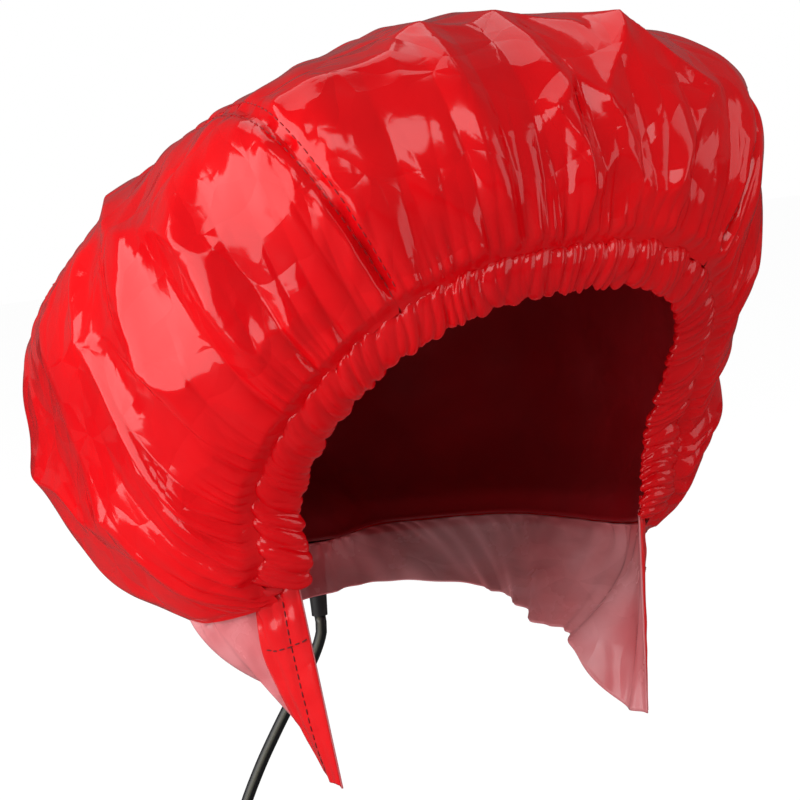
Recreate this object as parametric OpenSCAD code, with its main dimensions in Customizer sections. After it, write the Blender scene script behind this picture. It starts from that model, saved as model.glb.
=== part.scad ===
// Electric heating cap: a puffed bag of glossy film with a gathered elastic front,
// a quilted heater inside, a thin neck flap, and a mains lead with an inline heat control.
// X points to the wearer's left, the face looks along -Y, Z is up.
// The origin is the middle of the head at the level of the forehead hem.

/* [Bag] */
// Half the width of the puffed bag
bag_half_w = 121; // [112:1:130]
// Reach of the bag ahead of its middle, along its leaning axis
bag_front = 145; // [136:1:155]
// Reach of the bag behind its middle, along its leaning axis
bag_back = 152; // [142:1:164]
// Rise of the bag over its middle, under the crown folds
bag_up = 73; // [70:1:80]
// Drop of the bag's curve under its middle
bag_down = 116; // [108:1:126]
// How far the bag leans back, in degrees
bag_lean = 19; // [16:1:22]
// Height of the fold that crosses the crown
brow_fold = 14; // [10:1:18]
// Rise of the dome over the top of the head
crown_rise = 24; // [22:1:28]
// Height of the ridge that the film makes along each seam
seam_ridge = 7.5; // [4:0.5:9]
// Height of the broad folds that the gathers throw in the outer film
fold_lift = 5; // [1:0.2:5.4]

/* [Face opening] */
// Forehead hem ahead of the middle of the head
forehead_y = 95; // [90:1:100]
// Half the width of the opening at the temples
temple_x = 57; // [54:1:60]
// Half the width of the opening at the cheeks
cheek_x = 71; // [68:1:74]
// Drop of the gathers' end under the forehead hem
gather_drop = 97; // [92:1:101]
// Drop of the bag's lower edge under the forehead hem
bag_drop = 112; // [108:1:118]
// Half the width of the bag's lower edge
low_half_w = 94; // [90:1:98]
// Lower edge behind the middle of the head, at the nape
nape_y = 112; // [108:1:116]

/* [Layers] */
// Thickness of the outer film
film_t = 0.8; // [0.5:0.1:1]
// Thickness of the seam tape
tape_t = 0.5; // [0.4:0.1:0.8]
// Thickness of the insulating pad
pad_t = 2.7; // [2.4:0.1:3.1]
// Thickness of the heater cloth
cloth_t = 0.5; // [0.4:0.1:0.7]
// Thickness of the lining
lining_t = 0.6; // [0.4:0.1:0.8]
// Diameter of the heating wire
wire_d = 1.2; // [0.8:0.1:1.4]
// Clearance between one layer and the next
layer_gap = 0.5; // [0.4:0.05:0.6]
// Depth of the pocket in the lining for the thermostats
bay_depth = 11; // [10.5:0.5:12]

/* [Gathered front] */
// Thickness of the gathered casing
casing_t = 6.4; // [5.6:0.2:7.2]
// Number of gathers along the casing
gathers = 44; // [36:1:50]
// Width of the elastic
elastic_w = 7; // [5:0.5:7.5]
// Thickness of the elastic
elastic_t = 1.2; // [0.8:0.1:1.4]

/* [Neck flap] */
// Drop of the flap's front corners under the forehead hem
flap_drop = 170; // [160:1:176]
// Drop of the flap's lower edge at the nape
flap_nape_drop = 127; // [124:1:132]
// Thickness of the flap
flap_t = 0.6; // [0.4:0.1:0.8]
// Thickness of the folded hem along the flap's front edges
hem_t = 1.2; // [0.8:0.1:1.6]

/* [Cord] */
// Diameter of the cord
cord_d = 4.6; // [4.2:0.1:4.8]
// Height of the forehead hem above the surface that the spare cord lies on
table_drop = 285; // [270:1:300]
// Mean gap between the turns of a coil
turn_gap = 0.6; // [0.5:0.1:1]
// Outer radius of the coil next to the cap, at the cord's middle
cap_coil_r = 32; // [31:0.5:34]
// Outer radius of the coil next to the plug, at the cord's middle
plug_coil_r = 34; // [33:0.5:36]
// Width of the coil ties
tie_w = 12; // [8:1:16]
// Length of the tapered sleeve where the cord leaves the cap
sleeve_l = 26; // [20:1:34]

/* [Heat control] */
// Length of the control's case
case_l = 74; // [70:1:84]
// Width of the control's case
case_w = 28; // [26:1:34]
// Height of the control's case
case_h = 20; // [19:1:24]
// Wall of the control's case
case_wall = 1.8; // [1.4:0.1:2.2]
// Travel of the heat slider from off to high
slider_travel = 12; // [8:1:14]
// Clearance round the moving slider
slide_gap = 0.35; // [0.25:0.05:0.5]

/* [Plug] */
// Length of the plug's body
plug_l = 30; // [26:1:36]
// Width of the plug's body
plug_w = 24; // [22:1:28]
// Height of the plug's body
plug_h = 16; // [14:1:18]
// Distance between the blades' middles
blade_pitch = 12.7; // [12.5:0.1:12.9]
// Length of the blades
blade_l = 17.5; // [16:0.5:18.5]

/* [Hidden] */
$fn = 32;

film_red = "#c8101c";
flap_red = "#e0555a";
lining_red = "#8c1018";
pad_white = "#ece7dc";
cloth_grey = "#b9b4a8";
thread_red = "#d9404a";
cord_black = "#1c1c1e";
case_black = "#26262a";
metal_grey = "#b8b9bd";
brass_yellow = "#c9a24a";

// ---- small helpers ----

function lerp(a, b, t) = a + (b - a) * t;
function clamp(x, lo, hi) = min(hi, max(lo, x));
function smooth(t) = let (u = clamp(t, 0, 1)) u * u * (3 - 2 * u);
function unit(v) = v / norm(v);
function bell(x, w) = exp(-pow(x / w, 2));
function joined(lists) = [for (row = lists) each row];
function last(list) = list[len(list) - 1];

// A smooth curve through a list of points: whole numbers of t are the points themselves.
function blend4(a, b, c, d, t) =
    0.5 * (2 * b + (c - a) * t + (2 * a - 5 * b + 4 * c - d) * t * t
        + (3 * b - a - 3 * c + d) * t * t * t);
function on_loop(pts, t) =
    let (m = len(pts), w = t - m * floor(t / m), i = floor(w))
    blend4(pts[(i + m - 1) % m], pts[i % m], pts[(i + 1) % m], pts[(i + 2) % m], w - i);
function on_line(pts, t) =
    let (m = len(pts) - 1, w = clamp(t, 0, m), i = min(floor(w), m - 1))
    blend4(pts[max(i - 1, 0)], pts[i], pts[i + 1], pts[min(i + 2, m)], w - i);

// ---- closed solids from rows of points ----

function six_volumes(pts, faces) =
    let (parts = [for (f = faces) cross(pts[f[0]], pts[f[1]]) * pts[f[2]]])
    parts * [for (p = parts) 1];

// A polyhedron whose triangles are turned to face outwards.
module closed_solid(pts, faces) {
    outward = six_volumes(pts, faces) > 0;
    polyhedron(pts, outward ? [for (f = faces) [f[0], f[2], f[1]]] : faces);
}

function cell(a, b, d, e) = [[a, d, e], [a, e, b]];

// A sheet with two faces, each a grid of rows, closed along its four edges.
module sheet_solid(face_a, face_b) {
    rows = len(face_a);
    cols = len(face_a[0]);
    n = rows * cols;
    top = joined([for (r = [0:rows - 2]) for (c = [0:cols - 2])
        cell(r * cols + c, r * cols + c + 1, (r + 1) * cols + c, (r + 1) * cols + c + 1)]);
    first_row = joined([for (c = [0:cols - 2]) cell(c + n, c + 1 + n, c, c + 1)]);
    last_row = joined([for (c = [0:cols - 2])
        let (k = (rows - 1) * cols + c) cell(k, k + 1, k + n, k + 1 + n)]);
    first_col = joined([for (r = [0:rows - 2])
        let (k = r * cols) cell(k + cols + n, k + n, k + cols, k)]);
    last_col = joined([for (r = [0:rows - 2])
        let (k = r * cols + cols - 1) cell(k + cols, k, k + cols + n, k + n)]);
    closed_solid(concat(joined(face_a), joined(face_b)),
        concat(top, [for (f = top) [f[0] + n, f[2] + n, f[1] + n]],
            first_row, last_row, first_col, last_col));
}

// A round sheet: a middle point and rings on each face, closed along the outer ring.
module disc_solid(mid_a, rings_a, mid_b, rings_b) {
    rows = len(rings_a);
    cols = len(rings_a[0]);
    n = rows * cols;
    fan = [for (c = [0:cols - 1]) [2 * n, c, (c + 1) % cols]];
    body = joined([for (r = [0:rows - 2]) for (c = [0:cols - 1])
        cell(r * cols + c, r * cols + (c + 1) % cols,
            (r + 1) * cols + c, (r + 1) * cols + (c + 1) % cols)]);
    top = concat(fan, body);
    low = concat([for (f = fan) [2 * n + 1, f[2] + n, f[1] + n]],
        [for (f = body) [f[0] + n, f[2] + n, f[1] + n]]);
    edge = joined([for (c = [0:cols - 1])
        let (k = (rows - 1) * cols, a = k + c, b = k + (c + 1) % cols) cell(a, b, a + n, b + n)]);
    closed_solid(concat(joined(rings_a), joined(rings_b), [mid_a, mid_b]), concat(top, low, edge));
}

// Sides between rings of points, and a cap at each end.
function ring_sides(rows, cols, start = 0) =
    joined([for (r = [0:rows - 2]) for (c = [0:cols - 1])
        cell(start + r * cols + c, start + r * cols + (c + 1) % cols,
            start + (r + 1) * cols + c, start + (r + 1) * cols + (c + 1) % cols)]);

module bar_solid(rings) {
    rows = len(rings);
    cols = len(rings[0]);
    k = (rows - 1) * cols;
    closed_solid(joined(rings), concat(ring_sides(rows, cols),
        [for (c = [1:cols - 2]) [0, c, c + 1]],
        [for (c = [1:cols - 2]) [k, k + c + 1, k + c]]));
}

// A tube with an inner bore of the same number of points, open at both ends.
module hollow_bar_solid(outer, inner) {
    rows = len(outer);
    cols = len(outer[0]);
    n = rows * cols;
    k = (rows - 1) * cols;
    closed_solid(concat(joined(outer), joined(inner)), concat(ring_sides(rows, cols),
        [for (f = ring_sides(rows, cols)) [f[0] + n, f[2] + n, f[1] + n]],
        joined([for (c = [0:cols - 1]) cell(n + c, n + (c + 1) % cols, c, (c + 1) % cols)]),
        joined([for (c = [0:cols - 1])
            cell(k + c, k + (c + 1) % cols, n + k + c, n + k + (c + 1) % cols)])));
}

// ---- tubes along a path ----

function path_dir(path, i) =
    unit(path[min(i + 1, len(path) - 1)] - path[max(i - 1, 0)]);
function square_to(v, dir) = unit(v - (v * dir) * dir);
function any_side(dir) = square_to(abs(dir[2]) < 0.9 ? [0, 0, 1] : [1, 0, 0], dir);
// A side direction at each point of the path, carried along without twisting.
function path_sides(path) =
    [for (i = 0, s = any_side(path_dir(path, 0)); i < len(path);
        i = i + 1, s = i < len(path) ? square_to(s, path_dir(path, i)) : s) s];
function tube_rings(path, r, sides) =
    let (across = path_sides(path))
    [for (i = [0:len(path) - 1])
        let (dir = path_dir(path, i), u = across[i], v = cross(dir, u))
        [for (k = [0:sides - 1]) path[i] + r * (cos(k * 360 / sides) * u + sin(k * 360 / sides) * v)]];

module tube(path, r, sides) {
    bar_solid(tube_rings(path, r, sides));
}

// The least distance between points of a path that are more than some steps apart.
function least_gap(path, skip) =
    min([for (i = [0:len(path) - 1 - skip]) for (j = [i + skip:len(path) - 1]) norm(path[i] - path[j])]);
function path_length(path) =
    let (steps = [for (i = [1:len(path) - 1]) norm(path[i] - path[i - 1])])
    steps * [for (s = steps) 1];

// ---- the bag's surface ----
// The bag is drawn on a round chart: p runs across, q runs from the nape (-1) to the
// forehead (1), and the rim of the opening is the unit circle.

bag_middle = [0, 20, -18];
pole_lean = 35;
pole = [0, sin(pole_lean), cos(pole_lean)];
puff_angle = 50;
plan_power = 3;
top_power = 2.9;
low_power = 3.2;
brow_q = 0.6;
brow_wide = 0.2;
crown_q = 0.25;
crown_wide = 0.32;
ridge_wide = 0.08;
gather_end = 5 / 9;
edge_share = 0.945;

rim_half = [
    [0, -forehead_y, 0],
    [0.55 * temple_x, -forehead_y + 4, -3],
    [temple_x, -forehead_y + 21, -17],
    [cheek_x - 1, -46, -42],
    [cheek_x + 2, -26, -68],
    [cheek_x + 1, -22, -gather_drop],
    [low_half_w, 15, -bag_drop],
    [low_half_w - 14, 75, -bag_drop],
    [0.43 * low_half_w, nape_y - 8, -bag_drop],
    [0, nape_y, -bag_drop],
];
rim_points = concat(rim_half, [for (i = [8:-1:1]) [-rim_half[i][0], rim_half[i][1], rim_half[i][2]]]);

// The rim of the opening: s is 0 at the forehead, 1 at the nape, and positive on the wearer's left.
function rim(s) = on_loop(rim_points, s * len(rim_points) / 2);
// The film stops short of the rim where the gathered casing begins.
function film_end(s) = lerp(edge_share, 1, smooth((abs(s) - gather_end) / 0.04));

function bag_radius(dir) =
    let (y = dir[1] * cos(bag_lean) - dir[2] * sin(bag_lean),
        z = dir[1] * sin(bag_lean) + dir[2] * cos(bag_lean),
        flat_part = pow(pow(abs(dir[0]) / bag_half_w, plan_power)
            + pow(abs(y) / (y < 0 ? bag_front : bag_back), plan_power), 1 / plan_power),
        power = z > 0 ? top_power : low_power)
    pow(pow(flat_part, power) + pow(abs(z) / (z > 0 ? bag_up : bag_down), power), -1 / power);

// Half the centre panel's width on the chart.
function seam_at(q) = 0.42 + 0.25 * pow(max(q, 0), 2);
function folds(p, q, ridged) =
    brow_fold * bell(q - brow_q, brow_wide) * exp(-pow(p / 0.5, 4))
    + crown_rise * bell(norm([p, q - crown_q]), crown_wide)
    + ridged * seam_ridge * bell(q - 0.6, 0.45) * bell(abs(p) - seam_at(q), ridge_wide);

// A point on the rim's ray s, a share rho of the way from the pole to the rim.
function bag_ray(rho, s, inset, fold) =
    let (to_rim = rim(s) - bag_middle, far = unit(to_rim), turn = acos(pole * far),
        dir = (sin((1 - rho) * turn) * pole + sin(rho * turn) * far) / sin(turn),
        away = clamp((1 - rho) * turn / puff_angle, 0, 1), puff = 1 - pow(1 - away, 2))
    bag_middle + dir * (norm(to_rim) * (1 - puff) + (bag_radius(dir) + fold) * puff - inset);

function chart_s(p, q) = norm([p, q]) < 0.000001 ? 0 : atan2(p, q) / 180;
function bag(p, q, inset, ridged = 0) =
    let (s = chart_s(p, q))
    bag_ray(norm([p, q]) * film_end(s), s, inset, folds(p, q, ridged));

// Depths of the layers' faces under the outer face of the film.
tape_in = film_t + 0.6;
pad_in = tape_in + tape_t + layer_gap;
wire_in = pad_in + pad_t + 0.8 + wire_d / 2;
cloth_in = wire_in + wire_d / 2 + layer_gap;
lining_in = cloth_in + cloth_t + layer_gap;
binding_in = film_t + 0.8;
binding_t = 1.5;
flap_in = binding_in + binding_t + 0.8;
lining_end_in = flap_in + flap_t + 0.5;
// How far the lining and the flap stand forward at the nape, clear of the cord.
function nape_push(s) = 20 * smooth(1 - (1 - abs(s)) / 0.1);

// ---- outer film panels ----

front_corner = [0.584, 0.811];
nape_corner = [0.42, -0.907];
seam_slit = 0.003;

function seam_point(v) =
    let (q = lerp(front_corner[1], nape_corner[1], v)) [seam_at(q), q];
// Across the centre panel: u is -1 to 1, v is 0 at the forehead and 1 at the nape.
function centre_chart(u, v) =
    let (seam = seam_point(v),
        front_bulge = sqrt(1 - pow(u * front_corner[0], 2)) - front_corner[1],
        nape_bulge = sqrt(1 - pow(u * nape_corner[0], 2)) + nape_corner[1])
    [u * (seam[0] - seam_slit), seam[1] + (1 - v) * front_bulge - v * nape_bulge];
// Down a side panel: u is 0 at the seam and 1 at the rim, v runs from the temple to the nape.
function side_chart(u, v) =
    let (seam = seam_point(v),
        turn = lerp(atan2(front_corner[0], front_corner[1]), atan2(nape_corner[0], nape_corner[1]), v),
        out = [sin(turn), cos(turn)])
    lerp(seam + [seam_slit, 0], out, u);

// Broad folds stand off the pad, with narrow crests and round valleys. They fan out from the rim, and cross
// the top and the sides in a slanting net. They fade out at the rim, along the seams and round the grommet.
rim_folds = 20;
function crest(wave) = 1 - sqrt((wave * wave + 0.03) / 1.03);
function film_lift(p, q) =
    let (rho = norm([p, q]), s = chart_s(p, q),
        fan = crest(sin(90 * rim_folds * s + 25 * sin(900 * s))),
        net = crest(0.5 * sin(650 * p + 325 * q + 45 * sin(430 * q))
            + 0.5 * sin(700 * q - 410 * p + 55 * sin(500 * p))),
        uneven = 0.78 + 0.22 * sin(410 * p - 300 * q + 60),
        still = bell(abs(p) - seam_at(q), 0.07) + bell(norm([p, q + 0.97]), 0.13))
    fold_lift * uneven * lerp(net, fan, smooth((rho - 0.3) / 0.45)) * smooth((1 - rho) / 0.1)
        * (1 - min(still, 1));
function film_at(p, q, inset) = bag(p, q, inset - film_lift(p, q), 1);

panel_rows = 28;
centre_cols = 10;
side_cols = 11;
side_tip = 0.012;
// Points of the two kinds of panel: side is 1 on the wearer's left and -1 on the right.
function centre_point(i, j, inset) =
    let (c = centre_chart(i / centre_cols, j / panel_rows)) film_at(c[0], c[1], inset);
function side_point(side, i, j, inset) =
    let (c = side_chart(i / side_cols, clamp(j / panel_rows, side_tip, 1 - side_tip)))
    film_at(side * c[0], c[1], inset);

module outer_centre_panel() {
    face = function (inset) [for (j = [0:panel_rows]) [for (i = [-centre_cols:centre_cols])
        centre_point(i, j, inset)]];
    color(film_red) sheet_solid(face(0), face(film_t));
}

module outer_side_panel(side) {
    face = function (inset) [for (j = [0:panel_rows]) [for (i = [0:side_cols])
        side_point(side, i, j, inset)]];
    color(film_red) sheet_solid(face(0), face(film_t));
}

// Tape inside each seam, laid across the edges of the two panels.
module seam_tape(side) {
    reach = 0.44;
    face = function (inset) [for (j = [2:panel_rows - 2])
        let (a = centre_point(side * centre_cols, j, inset), b = side_point(side, 0, j, inset))
        [lerp(a, centre_point(side * (centre_cols - 1), j, inset), reach), (a + b) / 2,
            lerp(b, side_point(side, 1, j, inset), reach)]];
    color(thread_red) sheet_solid(face(tape_in), face(tape_in + tape_t));
}

// ---- quilted inner layers, all on one polar grid ----

sectors = 32;
ring_step = 0.0845;
pad_rings = 11;
cloth_rings = 9;
nape_sectors = 2;

function layer_ring(h, inset) =
    [for (k = [0:sectors - 1])
        let (a = k * 360 / sectors) bag(h * sin(a), h * cos(a), inset)];

module quilt_layer(rings, inset, t) {
    sizes = [for (i = [1:rings]) i * ring_step];
    disc_solid(bag(0, 0, inset), [for (h = sizes) layer_ring(h, inset)],
        bag(0, 0, inset + t), [for (h = sizes) layer_ring(h, inset + t)]);
}

module insulation_pad() {
    color(pad_white) quilt_layer(pad_rings, pad_in, pad_t);
}

module heater_cloth() {
    color(cloth_grey) quilt_layer(cloth_rings, cloth_in, cloth_t);
}

// The wire runs round the head in arcs that turn back at the nape.
module heating_wire() {
    arcs = [8, 6, 4, 2];
    stations = sectors - 2 * nape_sectors;
    station = function (ring, k)
        let (h = ring * ring_step, a = 180 + (nape_sectors + k) * 360 / sectors)
        bag(h * sin(a), h * cos(a), wire_in);
    points = joined([for (n = [0:len(arcs) - 1])
        let (back = n % 2 == 1, turn_at = back ? 0 : stations)
        concat([for (k = [0:stations]) station(arcs[n], back ? stations - k : k)],
            n < len(arcs) - 1 ? [station(arcs[n] - 1, turn_at)] : [])]);
    color(metal_grey) tube(points, wire_d / 2, 5);
}

// The lining is drawn in to the binding at its edge, and stands off at the nape
// for the cord and at the back of the head for the thermostats.
bay_q = -0.6;
bay_wide = 0.2;
bay_tall = 0.27;
module lining() {
    sizes = concat([for (i = [1:pad_rings]) i * ring_step], [0.96, 0.99]);
    depth = function (p, q)
        lerp(lining_in, lining_end_in, smooth((norm([p, q]) - 0.93) / 0.06))
        + bay_depth * bell(p, bay_wide) * bell(q - bay_q, bay_tall);
    face = function (t) [for (h = sizes) [for (k = [0:sectors - 1])
        let (a = k * 360 / sectors, p = h * sin(a), q = h * cos(a))
        bag(p, q, depth(p, q) + t) - [0, nape_push(chart_s(p, q)) * smooth((h - 0.8) / 0.12), 0]]];
    color(lining_red) disc_solid(bag(0, 0, depth(0, 0)), face(0),
        bag(0, 0, depth(0, 0) + lining_t), face(lining_t));
}

// ---- gathered casing and elastic ----

casing_gap = 0.35;
tunnel_gap = 0.4;
casing_steps = 2 * gathers;
function casing_s(i) = lerp(-gather_end, gather_end, i / casing_steps);
// Middle, along, across and outward directions of the casing at ray s.
function casing_frame(s) =
    let (edge = bag_ray(edge_share, s, 0, 0), out = rim(s), ahead = rim(s + 0.01) - rim(s - 0.01),
        across = unit(out - edge), normal = unit(cross(across, ahead)))
    [(edge + out) / 2, across, normal, norm(out - edge) / 2 - casing_gap];
function ellipse_ring(f, half_w, half_t, sides) =
    [for (k = [0:sides - 1])
        let (a = (k + 0.5) * 360 / sides) f[0] + half_w * cos(a) * f[1] + half_t * sin(a) * f[2]];
function box_ring(f, half_w, half_t) =
    [for (c = [[1, 0], [1, 1], [0, 1], [-1, 1], [-1, 0], [-1, -1], [0, -1], [1, -1]])
        f[0] + half_w * c[0] * f[1] + half_t * c[1] * f[2]];

module front_casing() {
    frames = [for (i = [0:casing_steps]) casing_frame(casing_s(i))];
    outer = [for (i = [0:casing_steps])
        let (f = frames[i], ruffle = i % 2 == 0 ? 1 : 0.84)
        ellipse_ring(f, f[3] * (i % 2 == 0 ? 1 : 0.92), casing_t / 2 * ruffle, 8)];
    inner = [for (f = frames)
        let (r = box_ring(f, elastic_w / 2 + tunnel_gap, elastic_t / 2 + tunnel_gap))
        [for (k = [0:7]) r[(k + 1) % 8]]];
    color(film_red) hollow_bar_solid(outer, inner);
}

module front_elastic() {
    rings = [for (i = [0:2:casing_steps])
        let (f = casing_frame(casing_s(i)))
        [for (c = [[1, 1], [-1, 1], [-1, -1], [1, -1]])
            f[0] + elastic_w / 2 * c[0] * f[1] + elastic_t / 2 * c[1] * f[2]]];
    color(pad_white) bar_solid(rings);
}

// ---- lower edge ----

binding_low = 0.95;
nape_slot = 0.055;
module bottom_binding(side) {
    face = function (inset) [for (j = [0:14]) [for (i = [0:1])
        bag_ray(lerp(binding_low, 0.995, i), side * lerp(gather_end + 0.045, 1 - nape_slot, j / 14), inset, 0)]];
    color(film_red) sheet_solid(face(binding_in), face(binding_in + binding_t));
}

// ---- neck flap ----

flap_start = 0.562;
flap_cols = 24;
flap_rows = 5;
flap_step = (1 - flap_start) / flap_cols;
hem_cols = 2;
flap_low = [
    [cheek_x - 5, -24, -flap_drop],
    [60, 6, -lerp(flap_drop, flap_nape_drop, 0.49)],
    [58, 27, -lerp(flap_drop, flap_nape_drop, 0.67)],
    [53, 49, -lerp(flap_drop, flap_nape_drop, 0.84)],
    [40, 74, -lerp(flap_drop, flap_nape_drop, 0.97)],
    [0, nape_y - 24, -flap_nape_drop],
];
// The flap's outward side is judged from a point this far ahead of the ears.
flap_focus_y = 30;
flap_low_full = concat(flap_low, [for (i = [4:-1:0]) [-flap_low[i][0], flap_low[i][1], flap_low[i][2]]]);

function flap_top(s) = bag_ray(0.99, s, flap_in, 0) - [0, 0.8 * nape_push(s), 0];
function flap_bottom(s) =
    on_line(flap_low_full, 5 * (s - flap_start) / (1 - flap_start));
// The flap from its sewn edge (t is 0) to its free edge (t is 1); s runs from left to right past the nape.
function flap_point(s, t) =
    let (a = flap_top(s > 1 ? s - 2 : s), b = flap_bottom(s),
        out = unit([a[0] + b[0], a[1] + b[1] - 2 * flap_focus_y, 0]),
        wave = 2 * t * sin(360 * 3.5 * (s - flap_start) / (1 - flap_start)),
        edge = smooth(min(s - flap_start, 2 - flap_start - s) / 0.06))
    lerp(a, b, t) + out * (3 * sin(180 * t) + wave) * edge;
function flap_out(s, t) =
    let (e = 0.004) unit(cross(flap_point(s, min(t + 0.05, 1)) - flap_point(s, max(t - 0.05, 0)),
        flap_point(min(s + e, 2 - flap_start), t) - flap_point(max(s - e, flap_start), t)));

module neck_flap() {
    face = function (inset) [for (j = [0:flap_rows]) [for (i = [0:2 * flap_cols])
        let (s = flap_start + flap_step * i, t = j / flap_rows)
        flap_point(s, t) - flap_out(s, t) * inset]];
    color(flap_red) sheet_solid(face(0), face(flap_t));
}

module flap_hem(side) {
    face = function (out) [for (j = [1:flap_rows]) [for (i = [0:hem_cols])
        let (s = side > 0 ? flap_start + flap_step * i : 2 - flap_start - flap_step * (hem_cols - i),
            t = j / flap_rows)
        flap_point(s, t) + flap_out(s, t) * out]];
    color(film_red) sheet_solid(face(0.3), face(0.3 + hem_t));
}

// Rows of thread that hold the elastic's ends in the hems.
module tack_stitches() {
    stitches = 7;
    hem_share = hem_cols * flap_step;
    color("#3a1014") for (side = [1, -1]) for (i = [0:stitches - 1]) {
        k = flap_start + hem_share * lerp(0.06, 0.94, i / (stitches - 1));
        s = side > 0 ? k : 2 - k;
        t = lerp(0.26, 0.32, i / (stitches - 1));
        at = flap_point(s, t) + flap_out(s, t) * (hem_t + 0.3 + 0.5);
        bar = 0.55 * unit(flap_point(s + 0.004 * side, t) - flap_point(s, t));
        tube([at - bar, at + bar], 0.25, 4);
    }
}

// ---- thermostats and leads at the back of the head ----

function back_out(q) =
    let (up = bag(0, q + 0.01, 0) - bag(0, q - 0.01, 0)) unit([0, up[2], -up[1]]);
// Puts a part under the heater cloth at chart height q: its z = 0 faces the cloth.
module under_cloth(q, clear = 1.3) {
    out = back_out(q);
    translate(bag(0, q, 0) - out * (cloth_in + cloth_t + clear))
        rotate([atan2(-out[1], out[2]), 0, 0]) children();
}

thermostat_r = 7.2;
can_t = 0.4;
can_h = 4;
base_top = 2.8;
base_h = 4;
operating_q = -0.52;
safety_q = -0.63;
fuse_q = -0.73;
fuse_depth = 3;

module thermostat_can() {
    color(metal_grey) difference() {
        translate([0, 0, -can_h]) cylinder(h = can_h, r = thermostat_r);
        translate([0, 0, -can_h - 1]) cylinder(h = can_h + 1 - 2 * can_t, r = thermostat_r - can_t);
    }
}

module thermostat_base() {
    pocket_r = 5;
    pocket_h = 2.2;
    color(case_black) difference() {
        translate([0, 0, -base_top - base_h]) cylinder(h = base_h, r = thermostat_r - can_t - 0.15);
        translate([0, 0, -base_top - pocket_h]) cylinder(h = pocket_h + 1, r = pocket_r);
    }
}

module bimetal_strip() {
    strip_l = 12.6;
    strip_w = 4;
    strip_t = 0.4;
    color(brass_yellow) translate([-strip_l / 2, -strip_w / 2, -base_top + 0.1])
        cube([strip_l, strip_w, strip_t]);
}

fuse_r = 1.5;
sleeve_wall = 0.5;
module thermal_fuse() {
    fuse_l = 11;
    lead_l = 20;
    color(metal_grey) under_cloth(fuse_q) translate([0, 0, -fuse_depth]) rotate([0, 90, 0]) {
        cylinder(h = fuse_l, r = fuse_r, center = true);
        cylinder(h = lead_l, r = 0.5, center = true);
    }
}

module fuse_sleeve() {
    sleeve = 17;
    color(pad_white) under_cloth(fuse_q) translate([0, 0, -fuse_depth]) rotate([0, 90, 0]) difference() {
        cylinder(h = sleeve, r = fuse_r + 0.3 + sleeve_wall, center = true);
        cylinder(h = sleeve + 2, r = fuse_r + 0.3, center = true);
    }
}

// Points between the pad and the lining near the middle of the back: x across, q up the chart.
lead_depth = cloth_in + cloth_t + 3.2;
function back_at(x, q, depth) = bag(x / 200, q, depth);

crimp_r = 1.7;
crimp_l = 7;
lead_r = 0.9;
crimps = [[-15, fuse_q], [15, fuse_q], [-13, -0.42], [13, -0.42]];
module crimp_sleeves() {
    color(brass_yellow) for (c = crimps) {
        out = back_out(c[1]);
        translate(back_at(c[0], c[1], lead_depth)) rotate([atan2(-out[1], out[2]), 0, 0])
            rotate([90, 0, 0]) difference() {
                cylinder(h = crimp_l, r = crimp_r, center = true);
                cylinder(h = crimp_l + 2, r = lead_r + 0.15, center = true);
            }
    }
}

// Smooth tube through points, with a few rings between each pair.
function through(pts, rings) =
    [for (i = [0:rings * (len(pts) - 1)]) on_line(pts, i / rings)];

cord_r = cord_d / 2;
collar_r = 5.4;
cord_y = nape_y - 1 - collar_r;
clamp_top = -bag_drop + 11.4;
lead_start_z = clamp_top + 1.6;

module lead_wires() {
    color("#d8d4c8") for (side = [1, -1]) {
        tube(through([
            [side * 1.1, cord_y, lead_start_z],
            [side * 1.6, cord_y + 0.4, lead_start_z + 1.6],
            [side * 3, cord_y + 9, lead_start_z + 3.4],
            [side * 6, cord_y + 20, lead_start_z + 6.4],
            back_at(side * 11, -0.855, 8.6),
            back_at(side * 14, -0.8, 10.2),
            back_at(side * 15, fuse_q - 0.02, lead_depth),
            back_at(side * 15, fuse_q + 0.02, lead_depth),
        ], 2), lead_r, 5);
        tube(through([
            back_at(side * 15, fuse_q + 0.03, lead_depth),
            back_at(side * 14, -0.66, lead_depth),
            back_at(side * 13, -0.55, lead_depth),
            back_at(side * 13, -0.44, lead_depth),
            back_at(side * 13, -0.4, lead_depth),
        ], 1), lead_r, 5);
    }
}

// ---- where the cord leaves the cap ----

collar_low = -bag_drop - 1.9;
collar_t = 1.4;
bore_gap = 0.1;

module cord_bore(h) {
    cylinder(h = h, r = cord_r + bore_gap);
}

// A grommet clipped over the film's edge in the slot between the two bindings.
module cord_grommet() {
    low_flange = 7;
    high_flange = 8;
    high_z = 2.3 + collar_t;
    neck_top = high_z + collar_t + 1.6;
    color(case_black) translate([0, cord_y, collar_low]) difference() {
        union() {
            cylinder(h = collar_t, r = low_flange);
            cylinder(h = neck_top, r = collar_r);
            translate([0, 0, high_z]) cylinder(h = collar_t, r = high_flange);
        }
        translate([0, 0, -1]) cord_bore(neck_top + 2);
    }
}

module cord_clamp() {
    low = collar_low + 2.3 + 2 * collar_t + 1.6;
    color(case_black) translate([0, cord_y, low]) difference() {
        cylinder(h = clamp_top - low, r = 5);
        translate([0, 0, -1]) cord_bore(clamp_top - low + 2);
    }
}

module cord_strain_relief() {
    top_r = 4.2;
    low_r = 3.2;
    color(case_black) translate([0, cord_y, collar_low - sleeve_l]) difference() {
        cylinder(h = sleeve_l, r1 = low_r, r2 = top_r);
        translate([0, 0, -1]) cord_bore(sleeve_l + 2);
    }
}

cord_sides = 10;
exit_z = collar_low - sleeve_l;
module cord_inner_end() {
    color(cord_black) tube([[0, cord_y, lead_start_z - 0.5], [0, cord_y, collar_low],
        [0, cord_y, exit_z + 0.2]], cord_r, cord_sides);
}

// ---- the cord's run ----

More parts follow.
